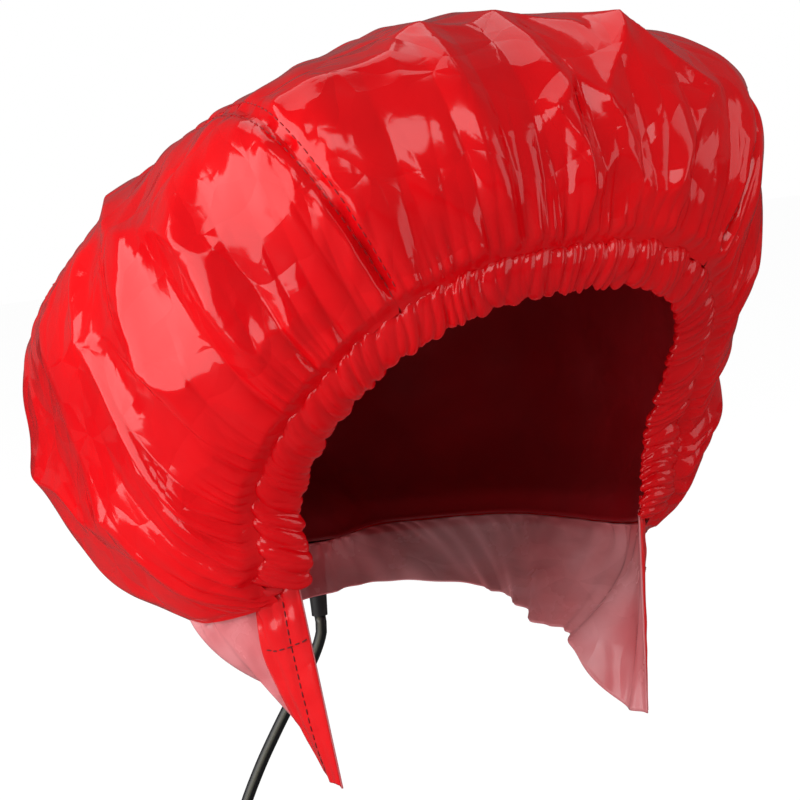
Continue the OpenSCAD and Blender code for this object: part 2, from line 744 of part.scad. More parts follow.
lying_z = -table_drop + cord_r;
tie_t = 0.8;
coil_z = lying_z + tie_t + 0.3;
coil_pitch = cord_d + turn_gap;
layer_rise = cord_d + 0.5;
coil_steps = 24;

cap_coil_at = [26, 98];
cap_coil_steps = 108;
plug_coil_at = [12, -60];
plug_coil_steps = 126;

// A flat coil of two layers: it winds inwards, climbs in half a turn, and winds out again.
// way is 1 anticlockwise and -1 clockwise; each end runs straight for one diameter.
function coil_path(at, outer, from, way, steps) =
    let (spiral = [for (i = [0:steps])
            let (r = outer - coil_pitch * min(i, steps - i) / coil_steps,
                a = from + way * i * 360 / coil_steps,
                rise = smooth((i - steps / 2 + coil_steps / 4) / (coil_steps / 2)))
            [at[0] + r * cos(a), at[1] + r * sin(a), coil_z + layer_rise * rise]],
        a0 = from, a1 = from + way * steps * 360 / coil_steps)
    concat([spiral[0] - cord_d * way * [-sin(a0), cos(a0), 0]], spiral,
        [last(spiral) + cord_d * way * [-sin(a1), cos(a1), 0]]);

cap_coil = coil_path(cap_coil_at, cap_coil_r, 90, -1, cap_coil_steps);
plug_coil = coil_path(plug_coil_at, plug_coil_r, -90, 1, plug_coil_steps);
echo(cap_coil_length = path_length(cap_coil), plug_coil_length = path_length(plug_coil));
echo(cap_coil_gap = least_gap(cap_coil, 12) - cord_d, plug_coil_gap = least_gap(plug_coil, 12) - cord_d);

// Where the control and the plug lie: the middle of the near end of each, on the cord's line.
control_at = [-56, -11, -table_drop];
control_mid = case_h / 2;
plug_at = [60, -8, -table_drop + plug_h / 2];

hang_route = [
    [0, cord_y, exit_z],
    [0, cord_y, exit_z - 7],
    [-3, 108.5, -157],
    [-9, 113.5, -170],
    [-17, 119, -186],
    [-25, 124, -203],
    [-32, 128, -221],
    [-36, 130, -240],
    [-32, 130.5, -259],
    [-19, 130.5, -275],
    [2, 130, coil_z - 1],
    [14, cap_coil_at[1] + cap_coil_r, coil_z],
    cap_coil[0],
];
to_control_route = [
    last(cap_coil),
    [14, 66, coil_z + 4.6],
    [-2, 65.5, coil_z + 0.6],
    [-18, 63, lying_z],
    [-36, 58, lying_z],
    [-51, 52, lying_z + 1.5],
    [-56, 44.5, lying_z + 5.2],
    [-56, 40, control_mid - table_drop],
    [-56, 37, control_mid - table_drop],
    [-56, 20, control_mid - table_drop],
];
from_control_route = [
    [-56, -42, control_mid - table_drop],
    [-56, -59, control_mid - table_drop],
    [-56, -62, control_mid - table_drop],
    [-55, -70, lying_z + 3.5],
    [-49, -81, lying_z + 0.3],
    [-37, -89.5, lying_z],
    [-20, -94, lying_z + 0.5],
    [-4, -94.2, coil_z],
    [4, plug_coil_at[1] - plug_coil_r, coil_z],
    plug_coil[0],
];
to_plug_route = [
    last(plug_coil),
    [46.5, -51, coil_z + layer_rise],
    [50, -42, coil_z + layer_rise],
    [56, -33, plug_at[2]],
    plug_at - [0, 15, 0],
    plug_at - [0, 6, 0],
    plug_at + [0, 4, 0],
];

hang_path = through(hang_route, 3);
to_control_path = through(to_control_route, 2);
from_control_path = through(from_control_route, 2);
to_plug_path = through(to_plug_route, 2);
echo(hang_length = path_length(hang_path), to_control_length = path_length(to_control_path));
echo(from_control_length = path_length(from_control_path), to_plug_length = path_length(to_plug_path));

module cord_from_cap() {
    color(cord_black) tube(hang_path, cord_r, cord_sides);
}

module cord_coil_cap() {
    color(cord_black) tube(cap_coil, cord_r, 6);
}

module cord_to_control() {
    color(cord_black) tube(to_control_path, cord_r, cord_sides);
}

module cord_from_control() {
    color(cord_black) tube(from_control_path, cord_r, cord_sides);
}

module cord_coil_plug() {
    color(cord_black) tube(plug_coil, cord_r, 6);
}

module cord_to_plug() {
    color(cord_black) tube(to_plug_path, cord_r, cord_sides);
}

// A strap round a coil's turns at one side of it.
module coil_tie(at, outer, steps, angle) {
    inner = outer - coil_pitch * steps / 2 / coil_steps - cord_r - 1.4;
    far = outer + cord_r + 0.5;
    high = layer_rise + cord_d + 0.6;
    corner = 2.4;
    color(case_black) translate([at[0], at[1], coil_z - cord_r - 0.3]) rotate([0, 0, angle])
        translate([0, tie_w / 2, 0]) rotate([90, 0, 0]) linear_extrude(tie_w) difference() {
            translate([inner - tie_t, -tie_t]) offset(corner) offset(-corner)
                square([far - inner + 2 * tie_t, high + 2 * tie_t]);
            translate([inner, 0]) offset(corner - tie_t) offset(tie_t - corner)
                square([far - inner, high]);
        }
}

// ---- heat control ----

module in_control() {
    translate(control_at) children();
}

case_round = 5;
edge_step = 1;
wall_top = case_h - case_wall;
post_y = case_l / 2 - 10;
post_r = 3.4;
screw_r = 1.4;
bore_r = 4.3;
slider_w = 12;
slider_l = 18;
plate_t = 2.2;
plate_z = wall_top - slide_gap - plate_t;
stem_w = 4.4;
stem_l = 8;
board_z = 6;
board_t = 1.2;
contact_t = 0.6;
lamp_y = -18.8;
lens_r = 2.5;

// A block with round upright edges, drawn in by some millimetres on every side.
module case_block(low, high, drawn_in) {
    r = case_round - drawn_in;
    w = case_w - 2 * drawn_in;
    l = case_l - 2 * drawn_in;
    translate([0, 0, low]) {
        translate([-w / 2 + r, -l / 2, 0]) cube([w - 2 * r, l, high - low]);
        translate([-w / 2, -l / 2 + r, 0]) cube([w, l - 2 * r, high - low]);
        for (x = [-1, 1]) for (y = [-1, 1]) translate([x * (w / 2 - r), y * (l / 2 - r), 0])
            cylinder(h = high - low, r = r);
    }
}

module end_bores() {
    translate([0, 0, control_mid]) rotate([90, 0, 0]) cylinder(h = case_l + 10, r = bore_r, center = true);
}

module control_case_bottom() {
    foot = 1;
    color(case_black) in_control() difference() {
        union() {
            difference() {
                union() {
                    case_block(foot, control_mid, 0);
                    case_block(0, foot + 1, edge_step);
                }
                case_block(case_wall + 0.2, case_h, case_wall);
            }
            for (y = [-post_y, post_y]) translate([0, y, 0]) cylinder(h = control_mid, r = post_r);
            for (x = [-8, 8]) for (y = [-16, 16]) translate([x, y, 1]) cylinder(h = board_z - 1, r = 1.6);
        }
        for (y = [-post_y, post_y]) translate([0, y, -1]) {
            cylinder(h = case_h, r = screw_r + 0.1);
            cylinder(h = 3.2, r = 3);
        }
        end_bores();
    }
}

module control_case_top() {
    crown = 1;
    rail_in = slider_w / 2 + slide_gap;
    rail_l = slider_l + slider_travel + 2 * slide_gap;
    lip_top = plate_z - slide_gap;
    color(case_black) in_control() difference() {
        union() {
            difference() {
                union() {
                    case_block(control_mid, case_h - crown, 0);
                    case_block(case_h - crown - 1, case_h, edge_step);
                }
                case_block(0, wall_top, case_wall);
            }
            for (y = [-post_y, post_y]) translate([0, y, control_mid])
                cylinder(h = wall_top + 0.5 - control_mid, r = post_r);
            for (side = [1, -1]) {
                translate([side * (rail_in + 1), 0, (lip_top - 1.6 + wall_top + 0.5) / 2])
                    cube([2, rail_l, wall_top + 0.5 - lip_top + 1.6], center = true);
                translate([side * (rail_in - 0.6), 0, lip_top - 0.8]) cube([2, rail_l, 1.6], center = true);
            }
        }
        translate([-stem_w / 2 - slide_gap, -(stem_l + slider_travel) / 2 - slide_gap, wall_top - 1])
            cube([stem_w + 2 * slide_gap, stem_l + slider_travel + 2 * slide_gap, case_wall + 2]);
        translate([0, lamp_y, wall_top - 1]) cylinder(h = case_wall + 2, r = lens_r + 0.1);
        for (y = [-post_y, post_y]) translate([0, y, control_mid - 1])
            cylinder(h = 6, r = screw_r + 0.05);
        end_bores();
    }
}

// The slider rests at its middle setting.
module heat_slider() {
    knob_w = 11;
    knob_l = 11;
    knob_z = case_h + slide_gap;
    color("#c9c5bb") in_control() difference() {
        union() {
            translate([-slider_w / 2, -slider_l / 2, plate_z]) cube([slider_w, slider_l, plate_t]);
            translate([-stem_w / 2, -stem_l / 2, plate_z + 0.5])
                cube([stem_w, stem_l, knob_z + 1 - plate_z]);
            hull() {
                translate([-knob_w / 2, -knob_l / 2, knob_z]) cube([knob_w, knob_l, 1.4]);
                translate([-knob_w / 2 + 1, -knob_l / 2 + 1, knob_z]) cube([knob_w - 2, knob_l - 2, 2.6]);
            }
            for (y = [-3, 0, 3]) translate([-knob_w / 2 + 1.4, y - 0.5, knob_z + 2])
                cube([knob_w - 2.8, 1, 1.2]);
        }
        for (y = [-1, 0, 1]) translate([slider_w / 2 - 3, y * slider_travel / 2, plate_z])
            rotate([0, 90, 0]) cylinder(h = 2.2, r = 0.9, center = true);
    }
}

module slider_contact() {
    leaf = 0.5;
    low = board_z + board_t + contact_t + 0.35;
    color(brass_yellow) in_control() translate([1.6, 0, 0]) rotate([90, 0, -90]) linear_extrude(3.2)
        polygon([[-5, plate_z], [-5, plate_z - leaf], [-3.4, plate_z - leaf], [-0.6, low],
            [0.6, low], [3.4, plate_z - leaf], [5, plate_z - leaf], [5, plate_z]]);
}

module contact_board() {
    color("#7a5a34") in_control() translate([-10, -22, board_z]) cube([20, 44, board_t]);
}

// Off, half heat and full heat.
module fixed_contacts() {
    color(brass_yellow) in_control() for (y = [-1, 0, 1])
        translate([-4, y * slider_travel / 2 - 1.8, board_z + board_t]) cube([8, 3.6, contact_t]);
}

module detent_spring() {
    leaf = 0.4;
    top = plate_z - 0.35;
    low = board_z + board_t;
    color(metal_grey) in_control() translate([slider_w / 2 - 2.4, 0, 0]) rotate([90, 0, -90])
        linear_extrude(1.2) polygon([[14, low], [9, low], [0.6, top - 1.4], [-1, top - 1.4],
            [-1, top - 0.9], [-0.5, top], [0.5, top], [1, top - 0.9], [9.3, low + leaf],
            [14, low + leaf]]);
}

module half_heat_diode() {
    body_r = 1.4;
    color("#141414") in_control() translate([-7.6, 12, board_z + board_t + body_r + 0.05])
        rotate([90, 0, 0]) {
            cylinder(h = 5, r = body_r, center = true);
            cylinder(h = 12, r = 0.4, center = true);
        }
}

module indicator_lamp() {
    color("#ff9a50") in_control() translate([0, lamp_y, board_z + board_t]) cylinder(h = 8.6, r = 2.1);
}

module lamp_lens() {
    color("#ff7a2a") in_control() translate([0, lamp_y, 0]) {
        translate([0, 0, wall_top - 1.2]) cylinder(h = 1.1, r = lens_r + 0.9);
        translate([0, 0, wall_top - 0.5]) cylinder(h = case_wall + 0.8, r1 = lens_r, r2 = lens_r - 0.1);
        translate([0, 0, case_h + 0.2]) cylinder(h = 0.7, r1 = lens_r - 0.1, r2 = lens_r - 1);
    }
}

module control_screws() {
    color(metal_grey) in_control() for (y = [-post_y, post_y]) translate([0, y, 0]) {
        translate([0, 0, 0.7]) cylinder(h = 1.5, r = 2.7);
        translate([0, 0, 1]) cylinder(h = 13, r = screw_r);
    }
}

// A ribbed sleeve on the cord at each end of the control, way is 1 at the cap's end.
module control_grip(way) {
    end = case_l / 2;
    color(case_black) in_control() translate([0, 0, control_mid]) rotate([-90 * way, 0, 0]) difference() {
        union() {
            translate([0, 0, end - case_wall - 2.2]) cylinder(h = 2, r = bore_r + 1.3);
            translate([0, 0, end - case_wall - 1]) cylinder(h = case_wall + 1.4, r = bore_r - 0.15);
            translate([0, 0, end + 0.3]) cylinder(h = 10, r1 = bore_r - 0.15, r2 = 3.1);
        }
        translate([0, 0, end - case_wall - 3]) cord_bore(20);
    }
}

// ---- plug ----

module plug_body() {
    edge = 2;
    color(case_black) translate(plug_at) rotate([-90, 0, 0]) difference() {
        hull() {
            translate([0, 0, 1.5]) linear_extrude(plug_l - 3)
                offset(edge) square([plug_w - 2 * edge, plug_h - 2 * edge], center = true);
            linear_extrude(plug_l) offset(edge) square([plug_w - 4 * edge, plug_h - 4 * edge], center = true);
        }
        translate([0, 0, -1]) cord_bore(7);
    }
}

module plug_blades() {
    blade_w = 6.3;
    blade_t = 1.5;
    hole_r = 1.5;
    color(brass_yellow) translate(plug_at + [0, plug_l, 0]) rotate([-90, 0, 0])
        for (side = [1, -1]) translate([side * blade_pitch / 2, 0, 0]) difference() {
            translate([-blade_t / 2, -blade_w / 2, 0]) cube([blade_t, blade_w, blade_l]);
            translate([0, 0, blade_l - 4]) rotate([0, 90, 0]) cylinder(h = 6, r = hole_r, center = true);
        }
}

module plug_strain_relief() {
    length = 15;
    color(case_black) translate(plug_at - [0, length, 0]) rotate([-90, 0, 0]) difference() {
        cylinder(h = length, r1 = 3.2, r2 = 5);
        translate([0, 0, -1]) cord_bore(length + 2);
    }
}

// ---- draw ----

outer_centre_panel();
outer_side_panel(1);  // outer_side_panel_left
outer_side_panel(-1);  // outer_side_panel_right
seam_tape(1);  // seam_tape_left
seam_tape(-1);  // seam_tape_right
insulation_pad();
heating_wire();
heater_cloth();
lining();
front_casing();
front_elastic();
bottom_binding(1);  // bottom_binding_left
bottom_binding(-1);  // bottom_binding_right
neck_flap();
flap_hem(1);  // flap_hem_left
flap_hem(-1);  // flap_hem_right
tack_stitches();
under_cloth(operating_q) thermostat_base();  // operating_thermostat_base
under_cloth(operating_q) thermostat_can();  // operating_thermostat_can
under_cloth(operating_q) bimetal_strip();  // operating_bimetal_strip
under_cloth(safety_q, 1.9) thermostat_base();  // safety_thermostat_base
under_cloth(safety_q, 1.9) thermostat_can();  // safety_thermostat_can
under_cloth(safety_q, 1.9) bimetal_strip();  // safety_bimetal_strip
thermal_fuse();
fuse_sleeve();
crimp_sleeves();
lead_wires();
cord_grommet();
cord_clamp();
cord_inner_end();
cord_strain_relief();
cord_from_cap();
cord_coil_cap();
cord_to_control();
cord_from_control();
cord_coil_plug();
cord_to_plug();
coil_tie(cap_coil_at, cap_coil_r, cap_coil_steps, 0);  // coil_tie_cap
coil_tie(plug_coil_at, plug_coil_r, plug_coil_steps, 180);  // coil_tie_plug
control_case_bottom();
control_case_top();
heat_slider();
slider_contact();
contact_board();
fixed_contacts();
detent_spring();
half_heat_diode();
indicator_lamp();
lamp_lens();
control_screws();
control_grip(1);  // control_grip_in
control_grip(-1);  // control_grip_out
plug_body();
plug_blades();
plug_strain_relief();
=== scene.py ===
# %% [markdown]
# # Electric heating cap
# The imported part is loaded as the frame. All shapes below are worked out in millimetres on the same
# axes: X to the wearer's left, the face along -Y, Z up, and the origin in the middle of the head.

# %% Setup
import math
import time

import bpy
import numpy as np
from mathutils import Matrix, Vector


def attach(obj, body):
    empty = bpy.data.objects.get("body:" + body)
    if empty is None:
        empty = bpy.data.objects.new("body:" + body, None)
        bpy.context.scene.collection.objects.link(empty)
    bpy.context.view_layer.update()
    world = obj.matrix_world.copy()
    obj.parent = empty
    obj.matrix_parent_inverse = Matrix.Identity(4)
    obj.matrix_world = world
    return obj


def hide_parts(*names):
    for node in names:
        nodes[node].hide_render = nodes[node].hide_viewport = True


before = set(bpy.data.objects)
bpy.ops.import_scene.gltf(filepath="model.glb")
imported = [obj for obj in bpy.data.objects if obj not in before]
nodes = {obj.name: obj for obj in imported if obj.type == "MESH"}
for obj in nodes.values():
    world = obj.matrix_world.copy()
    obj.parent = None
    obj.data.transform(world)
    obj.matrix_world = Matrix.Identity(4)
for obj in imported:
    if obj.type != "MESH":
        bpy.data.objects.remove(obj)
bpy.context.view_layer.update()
MM = 0.001


# %% [markdown]
# ## Camera
# A long lens looks from the wearer's right front, a little above the face. The picture is turned a few
# degrees about the line of sight.

# %% Camera
scene = bpy.context.scene
VIEW_TURN, VIEW_RISE, VIEW_ROLL = math.radians(-30), math.radians(8), math.radians(5)
VIEW_FAR, HALF_FIELD = 1.0, math.radians(8.25)
AIM_RIGHT, AIM_UP = -13.1, -42.5
right = Vector((math.cos(VIEW_TURN), math.sin(VIEW_TURN), 0))
ahead = Vector((-math.sin(VIEW_TURN) * math.cos(VIEW_RISE), math.cos(VIEW_TURN) * math.cos(VIEW_RISE),
                -math.sin(VIEW_RISE)))
up = right.cross(ahead)
aim = (AIM_RIGHT * right + AIM_UP * up) * MM
cam_data = bpy.data.cameras.new("camera")
cam_data.sensor_width = 36
cam_data.lens = 18 / math.tan(HALF_FIELD)
camera = bpy.data.objects.new("camera", cam_data)
scene.collection.objects.link(camera)
turn = Matrix((right, up, -ahead)).transposed() @ Matrix.Rotation(-VIEW_ROLL, 3, "Z")
camera.matrix_world = Matrix.Translation(aim - ahead * VIEW_FAR) @ turn.to_4x4()
cam_data.clip_start, cam_data.clip_end = 0.01, 20
scene.camera = camera
print("camera at", [round(x, 3) for x in camera.matrix_world.translation])

# %% [markdown]
# ## Mesh helpers
# Grids of points become quads. A sweep carries a ring along a line: the cords, the casing and the bound edge
# are made by it. Directions across a cord are carried on from point to point, so its painted highlight stripe
# isn't twisted.

# %% Mesh helpers
def grid_quads(rows, cols, wrap=False, start=0):
    """Corner numbers of the quads of a rows x cols grid; wrap closes each row on itself."""
    r, c = np.meshgrid(np.arange(rows - 1), np.arange(cols if wrap else cols - 1), indexing="ij")
    d = (c + 1) % cols
    quads = np.stack([r * cols + c, r * cols + d, (r + 1) * cols + d, (r + 1) * cols + c], -1)
    return quads.reshape(-1, 4) + start


def pairs(a, b):
    """Pairs of numbers from two arrays that are stretched to the same shape."""
    return np.stack(np.broadcast_arrays(a, b), -1)


def build(name, points, faces, uv=None, smooth=True):
    """Makes an object from points in millimetres and lists of equal-sided faces."""
    mesh = bpy.data.meshes.new(name)
    points = np.asarray(points, np.float64).reshape(-1, 3) * MM
    mesh.vertices.add(len(points))
    mesh.vertices.foreach_set("co", points.astype(np.float32).ravel())
    faces = [np.asarray(f, np.int32) for f in faces if len(f)]
    corners = np.concatenate([f.ravel() for f in faces])
    counts = np.concatenate([np.full(len(f), f.shape[1], np.int32) for f in faces])
    mesh.loops.add(len(corners))
    mesh.loops.foreach_set("vertex_index", corners)
    mesh.polygons.add(len(counts))
    mesh.polygons.foreach_set("loop_start", np.concatenate([[0], np.cumsum(counts)[:-1]]).astype(np.int32))
    mesh.polygons.foreach_set("use_smooth", np.full(len(counts), smooth))
    mesh.update(calc_edges=True)
    if uv is not None:
        layer = mesh.uv_layers.new(name="UVMap")
        layer.data.foreach_set("uv", np.asarray(uv, np.float32).reshape(-1, 2)[corners].ravel())
    mesh.validate()
    piece = bpy.data.objects.new(name, mesh)
    scene.collection.objects.link(piece)
    return piece


def settle(piece, slot, *stands_for):
    """Puts a piece on the cap's body; it takes the place of the nodes named. The slot is not used."""
    if stands_for:
        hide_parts(*stands_for)
    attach(piece, "cap")
    return piece


def unit(v):
    """Vectors divided by their lengths."""
    return v / np.maximum(np.linalg.norm(v, axis=-1, keepdims=True), 1e-12)


def smooth(t):
    """From 0 to 1 with level ends: three t squared less two t cubed, and flat outside 0 to 1."""
    t = np.clip(t, 0, 1)
    return t * t * (3 - 2 * t)


def lerp(a, b, t):
    """a where t is 0, b where it is 1, and in proportion between."""
    return a + (b - a) * t


def cubic(a, b, c, d, w):
    """The smooth curve from b (w is 0) to c (w is 1) that heads from a and towards d."""
    return 0.5 * (2 * b + (c - a) * w + (2 * a - 5 * b + 4 * c - d) * w ** 2
                  + (3 * b - a - 3 * c + d) * w ** 3)


def distances(path):
    """Distance along a path at each of its points: the sum of the steps up to it."""
    return np.concatenate([[0], np.cumsum(np.linalg.norm(np.diff(path, axis=0), axis=1))])


def sideways(path):
    """Two directions across a path at each of its points, which don't twist about it."""
    along = unit(np.gradient(path, axis=0))
    first = np.array([1.0, 0, 0]) if abs(along[0, 2]) > 0.9 else np.array([0, 0, 1.0])
    side = np.zeros_like(path)
    side[0] = unit(first - along[0] * (first @ along[0]))
    for i in range(1, len(path)):
        side[i] = unit(side[i - 1] - along[i] * (side[i - 1] @ along[i]))
    return side, np.cross(along, side)


def tube_faces(rows, sides):
    """Quads of a tube of rings, and fans to its two end points, which come after the rings' points."""
    k = np.arange(sides)
    first = np.stack([np.full(sides, rows * sides), (k + 1) % sides, k], -1)
    last = np.stack([np.full(sides, rows * sides + 1), (rows - 1) * sides + k,
                     (rows - 1) * sides + (k + 1) % sides], -1)
    return [grid_quads(rows, sides, wrap=True), first, last]


def inside_out(faces):
    """The same faces, turned to look the other way."""
    return [f[:, ::-1] for f in faces]


def swept(name, line, across, normal, over, up, uv, uv_ends=((0, 0), (0, 0)), flip=False):
    """A closed sweep: each point of a ring lies over times across and up times normal away from the line."""
    rings = line[:, None] + across[:, None] * over[..., None] + normal[:, None] * up[..., None]
    points = np.concatenate([rings.reshape(-1, 3), line[:1], line[-1:]])
    faces = tube_faces(*rings.shape[:2])
    return build(name, points, inside_out(faces) if flip else faces,
                 uv=np.concatenate([uv.reshape(-1, 2), uv_ends]))


def tube(name, path, radius, sides):
    """A closed round tube; its UV map runs along in millimetres and round from 0 to 1."""
    share, far = np.arange(sides) / sides, distances(path)
    turn = 2 * np.pi * share
    return swept(name, path, *sideways(path), radius * np.cos(turn), radius * np.sin(turn),
                 pairs(far[:, None], share), [[0, 0.5], [far[-1], 0.5]])


def curve_through(route, step):
    """A smooth path through the points of a route, with points about a step apart."""
    route = np.asarray(route, float)
    padded = np.concatenate([route[:1], route, route[-1:]])
    rows = []
    for i in range(len(route) - 1):
        a, b, c, d = padded[i:i + 4]
        n = max(2, int(np.linalg.norm(c - b) / step))
        t = (np.arange(n) / n)[:, None]
        rows.append(cubic(a, b, c, d, t))
    return np.concatenate(rows + [route[-1:]])


print("helpers ready")

# %% [markdown]
# ## Cords
# The cord hangs from the sleeve at the nape, and what is spare lies on the surface below in two flat coils.
# A coil winds inwards, climbs one layer in half a turn and winds out again. The routes are the part's own.
# A bevelled curve object would look the same. A swept grid is used, because its UV map then runs in
# millimetres along the cord and once round it, which is where the painted highlight stripe gets its place.

# %% Cords
CORD_D = 4.6
CORD_R = CORD_D / 2
TABLE_Z = -285.0
CORD_Y = 105.6
EXIT_Z = -139.9
LYING_Z = TABLE_Z + CORD_R
COIL_Z = LYING_Z + 1.1
COIL_PITCH = CORD_D + 0.6
LAYER_RISE = CORD_D + 0.5
COIL_STEPS = 24
FINE = 4
CORD_STEP, CORD_SIDES = 2.5, 20
CAP_COIL = ((26, 98), 32.0, 90, -1, 108)
PLUG_COIL = ((12, -60), 34.0, -90, 1, 126)
CONTROL_Z = TABLE_Z + 10
PLUG_AT = np.array([60.0, -8.0, TABLE_Z + 8])


def coil_path(at, outer, start, way, steps):
    """The coil's line: the radius falls by one pitch a turn to the middle of its length, and grows again."""
    i = np.arange(steps * FINE + 1) / FINE
    r = outer - COIL_PITCH * np.minimum(i, steps - i) / COIL_STEPS
    a = np.radians(start + way * i * 360 / COIL_STEPS)
    rise = smooth((i - steps / 2 + COIL_STEPS / 4) / (COIL_STEPS / 2))
    spiral = np.stack([at[0] + r * np.cos(a), at[1] + r * np.sin(a), COIL_Z + LAYER_RISE * rise], -1)
    before = spiral[0] - CORD_D * way * np.array([-math.sin(a[0]), math.cos(a[0]), 0])
    after = spiral[-1] + CORD_D * way * np.array([-math.sin(a[-1]), math.cos(a[-1]), 0])
    return np.concatenate([[before], spiral, [after]])


cap_coil = coil_path(*CAP_COIL)
plug_coil = coil_path(*PLUG_COIL)
hang_route = [
    [0, CORD_Y, EXIT_Z], [0, CORD_Y, EXIT_Z - 7], [-3, 108.5, -157], [-9, 113.5, -170], [-17, 119, -186],
    [-25, 124, -203], [-32, 128, -221], [-36, 130, -240], [-32, 130.5, -259], [-19, 130.5, -275],
    [2, 130, COIL_Z - 1], [14, 130, COIL_Z], cap_coil[0]]
to_control_route = [
    cap_coil[-1], [14, 66, COIL_Z + 4.6], [-2, 65.5, COIL_Z + 0.6], [-18, 63, LYING_Z], [-36, 58, LYING_Z],
    [-51, 52, LYING_Z + 1.5], [-56, 44.5, LYING_Z + 5.2], [-56, 40, CONTROL_Z], [-56, 37, CONTROL_Z],
    [-56, 20, CONTROL_Z]]
from_control_route = [
    [-56, -42, CONTROL_Z], [-56, -59, CONTROL_Z], [-56, -62, CONTROL_Z], [-55, -70, LYING_Z + 3.5],
    [-49, -81, LYING_Z + 0.3], [-37, -89.5, LYING_Z], [-20, -94, LYING_Z + 0.5], [-4, -94.2, COIL_Z],
    [4, -94, COIL_Z], plug_coil[0]]
to_plug_route = [
    plug_coil[-1], [46.5, -51, COIL_Z + LAYER_RISE], [50, -42, COIL_Z + LAYER_RISE], [56, -33, PLUG_AT[2]],
    [60, -23, PLUG_AT[2]], [60, -14, PLUG_AT[2]], [60, -4, PLUG_AT[2]]]


def joined(*paths):
    """One path from several, each of which starts where the one before ends."""
    return np.concatenate([paths[0]] + [p[1:] for p in paths[1:]])


cap_path = joined(curve_through(hang_route, CORD_STEP), cap_coil, curve_through(to_control_route, CORD_STEP))
plug_path = joined(curve_through(from_control_route, CORD_STEP), plug_coil,
                   curve_through(to_plug_route, CORD_STEP))
cap_cord = tube("cap_cord", cap_path, CORD_R, CORD_SIDES)
plug_cord = tube("plug_cord", plug_path, CORD_R, CORD_SIDES)
settle(cap_cord, "black_cord", "cord_from_cap", "cord_coil_cap", "cord_to_control")
settle(plug_cord, "black_cord", "cord_from_control", "cord_coil_plug", "cord_to_plug")

# %% [markdown]
# ## Surface of the bag
# The same surface as the part's: a round chart with p across and q from the nape (-1) to the forehead (1),
# laid over a leaning, squarish dome that is drawn in to the rim of the opening. It could be sculpted, but a
# formula lets every layer of the cap be laid at its own depth below the same surface.

# %% Surface of the bag
MIDDLE = np.array([0, 20.0, -18.0])
POLE_LEAN, PUFF_ANGLE, BAG_LEAN = math.radians(35), math.radians(50), math.radians(19)
POLE = np.array([0, math.sin(POLE_LEAN), math.cos(POLE_LEAN)])
BAG_HALF_W, BAG_FRONT, BAG_BACK, BAG_UP, BAG_DOWN = 121, 145, 152, 73, 116
PLAN_POWER, TOP_POWER, LOW_POWER = 3, 2.9, 3.2
BROW_FOLD, CROWN_RISE, SEAM_RIDGE, FOLD_LIFT = 14, 24, 7.5, 5.0
GATHER_END = 5 / 9
HALF_RIM = np.array([
    [0, -95, 0], [31.35, -91, -3], [57, -74, -17], [70, -46, -42], [73, -26, -68], [72, -22, -97],
    [94, 15, -112], [80, 75, -112], [40.42, 104, -112], [0, 112, -112]], float)
RIM = np.concatenate([HALF_RIM, HALF_RIM[8:0:-1] * [-1, 1, 1]])
EDGE_SHARE = 0.945


def rim(s):
    """A smooth closed curve through the rim's points; s is 0 at the forehead and 1 at the nape."""
    t = np.asarray(s, float) * 9
    i = np.floor(t).astype(int)
    w = (t - i)[..., None]
    return cubic(*(RIM[(i + k) % 18] for k in (-1, 0, 1, 2)), w)


def polar(p, q):
    """A chart place as its distance from the middle and its direction, from 0 (forehead) to 1 or -1 (nape)."""
    return np.hypot(p, q), np.arctan2(p, q) / np.pi


def film_end(s):
    """Share of the way to the rim at which the film ends: EDGE_SHARE at the casing, and 1 past its ends."""
    return lerp(EDGE_SHARE, 1, smooth((np.abs(s) - GATHER_END) / 0.04))


def dome_radius(d):
    """Distance to a leaning squarish dome: a power mean of the three directions' shares."""
    y = d[..., 1] * math.cos(BAG_LEAN) - d[..., 2] * math.sin(BAG_LEAN)
    z = d[..., 1] * math.sin(BAG_LEAN) + d[..., 2] * math.cos(BAG_LEAN)
    plan = ((np.abs(d[..., 0]) / BAG_HALF_W) ** PLAN_POWER
            + np.abs(y / np.where(y < 0, BAG_FRONT, BAG_BACK)) ** PLAN_POWER) ** (1 / PLAN_POWER)
    power = np.where(z > 0, TOP_POWER, LOW_POWER)
    return (plan ** power + np.abs(z / np.where(z > 0, BAG_UP, BAG_DOWN)) ** power) ** (-1 / power)


def seam_at(q):
    """How far out a seam runs: 0.42, and a quarter of q squared more towards the forehead."""
    return 0.42 + 0.25 * np.maximum(q, 0) ** 2


def bell(x, w):
    """A bump of height 1: e to the power of minus the square of x over w."""
    return np.exp(-(x / w) ** 2)


def near_nape(p, q):
    """1 where the cord leaves at the nape, and 0 away from it."""
    return bell(np.hypot(p, q + 0.97), 0.13)


def folds(p, q):
    """What stands out from the dome, in mm: a broad fold over the forehead, a hump in the middle of the crown,
    and a ridge along the front of each seam."""
    return (BROW_FOLD * bell(q - 0.6, 0.2) * np.exp(-(p / 0.5) ** 4)
            + CROWN_RISE * bell(np.hypot(p, q - 0.25), 0.32)
            + SEAM_RIDGE * bell(q - 0.6, 0.45) * bell(np.abs(p) - seam_at(q), 0.08))


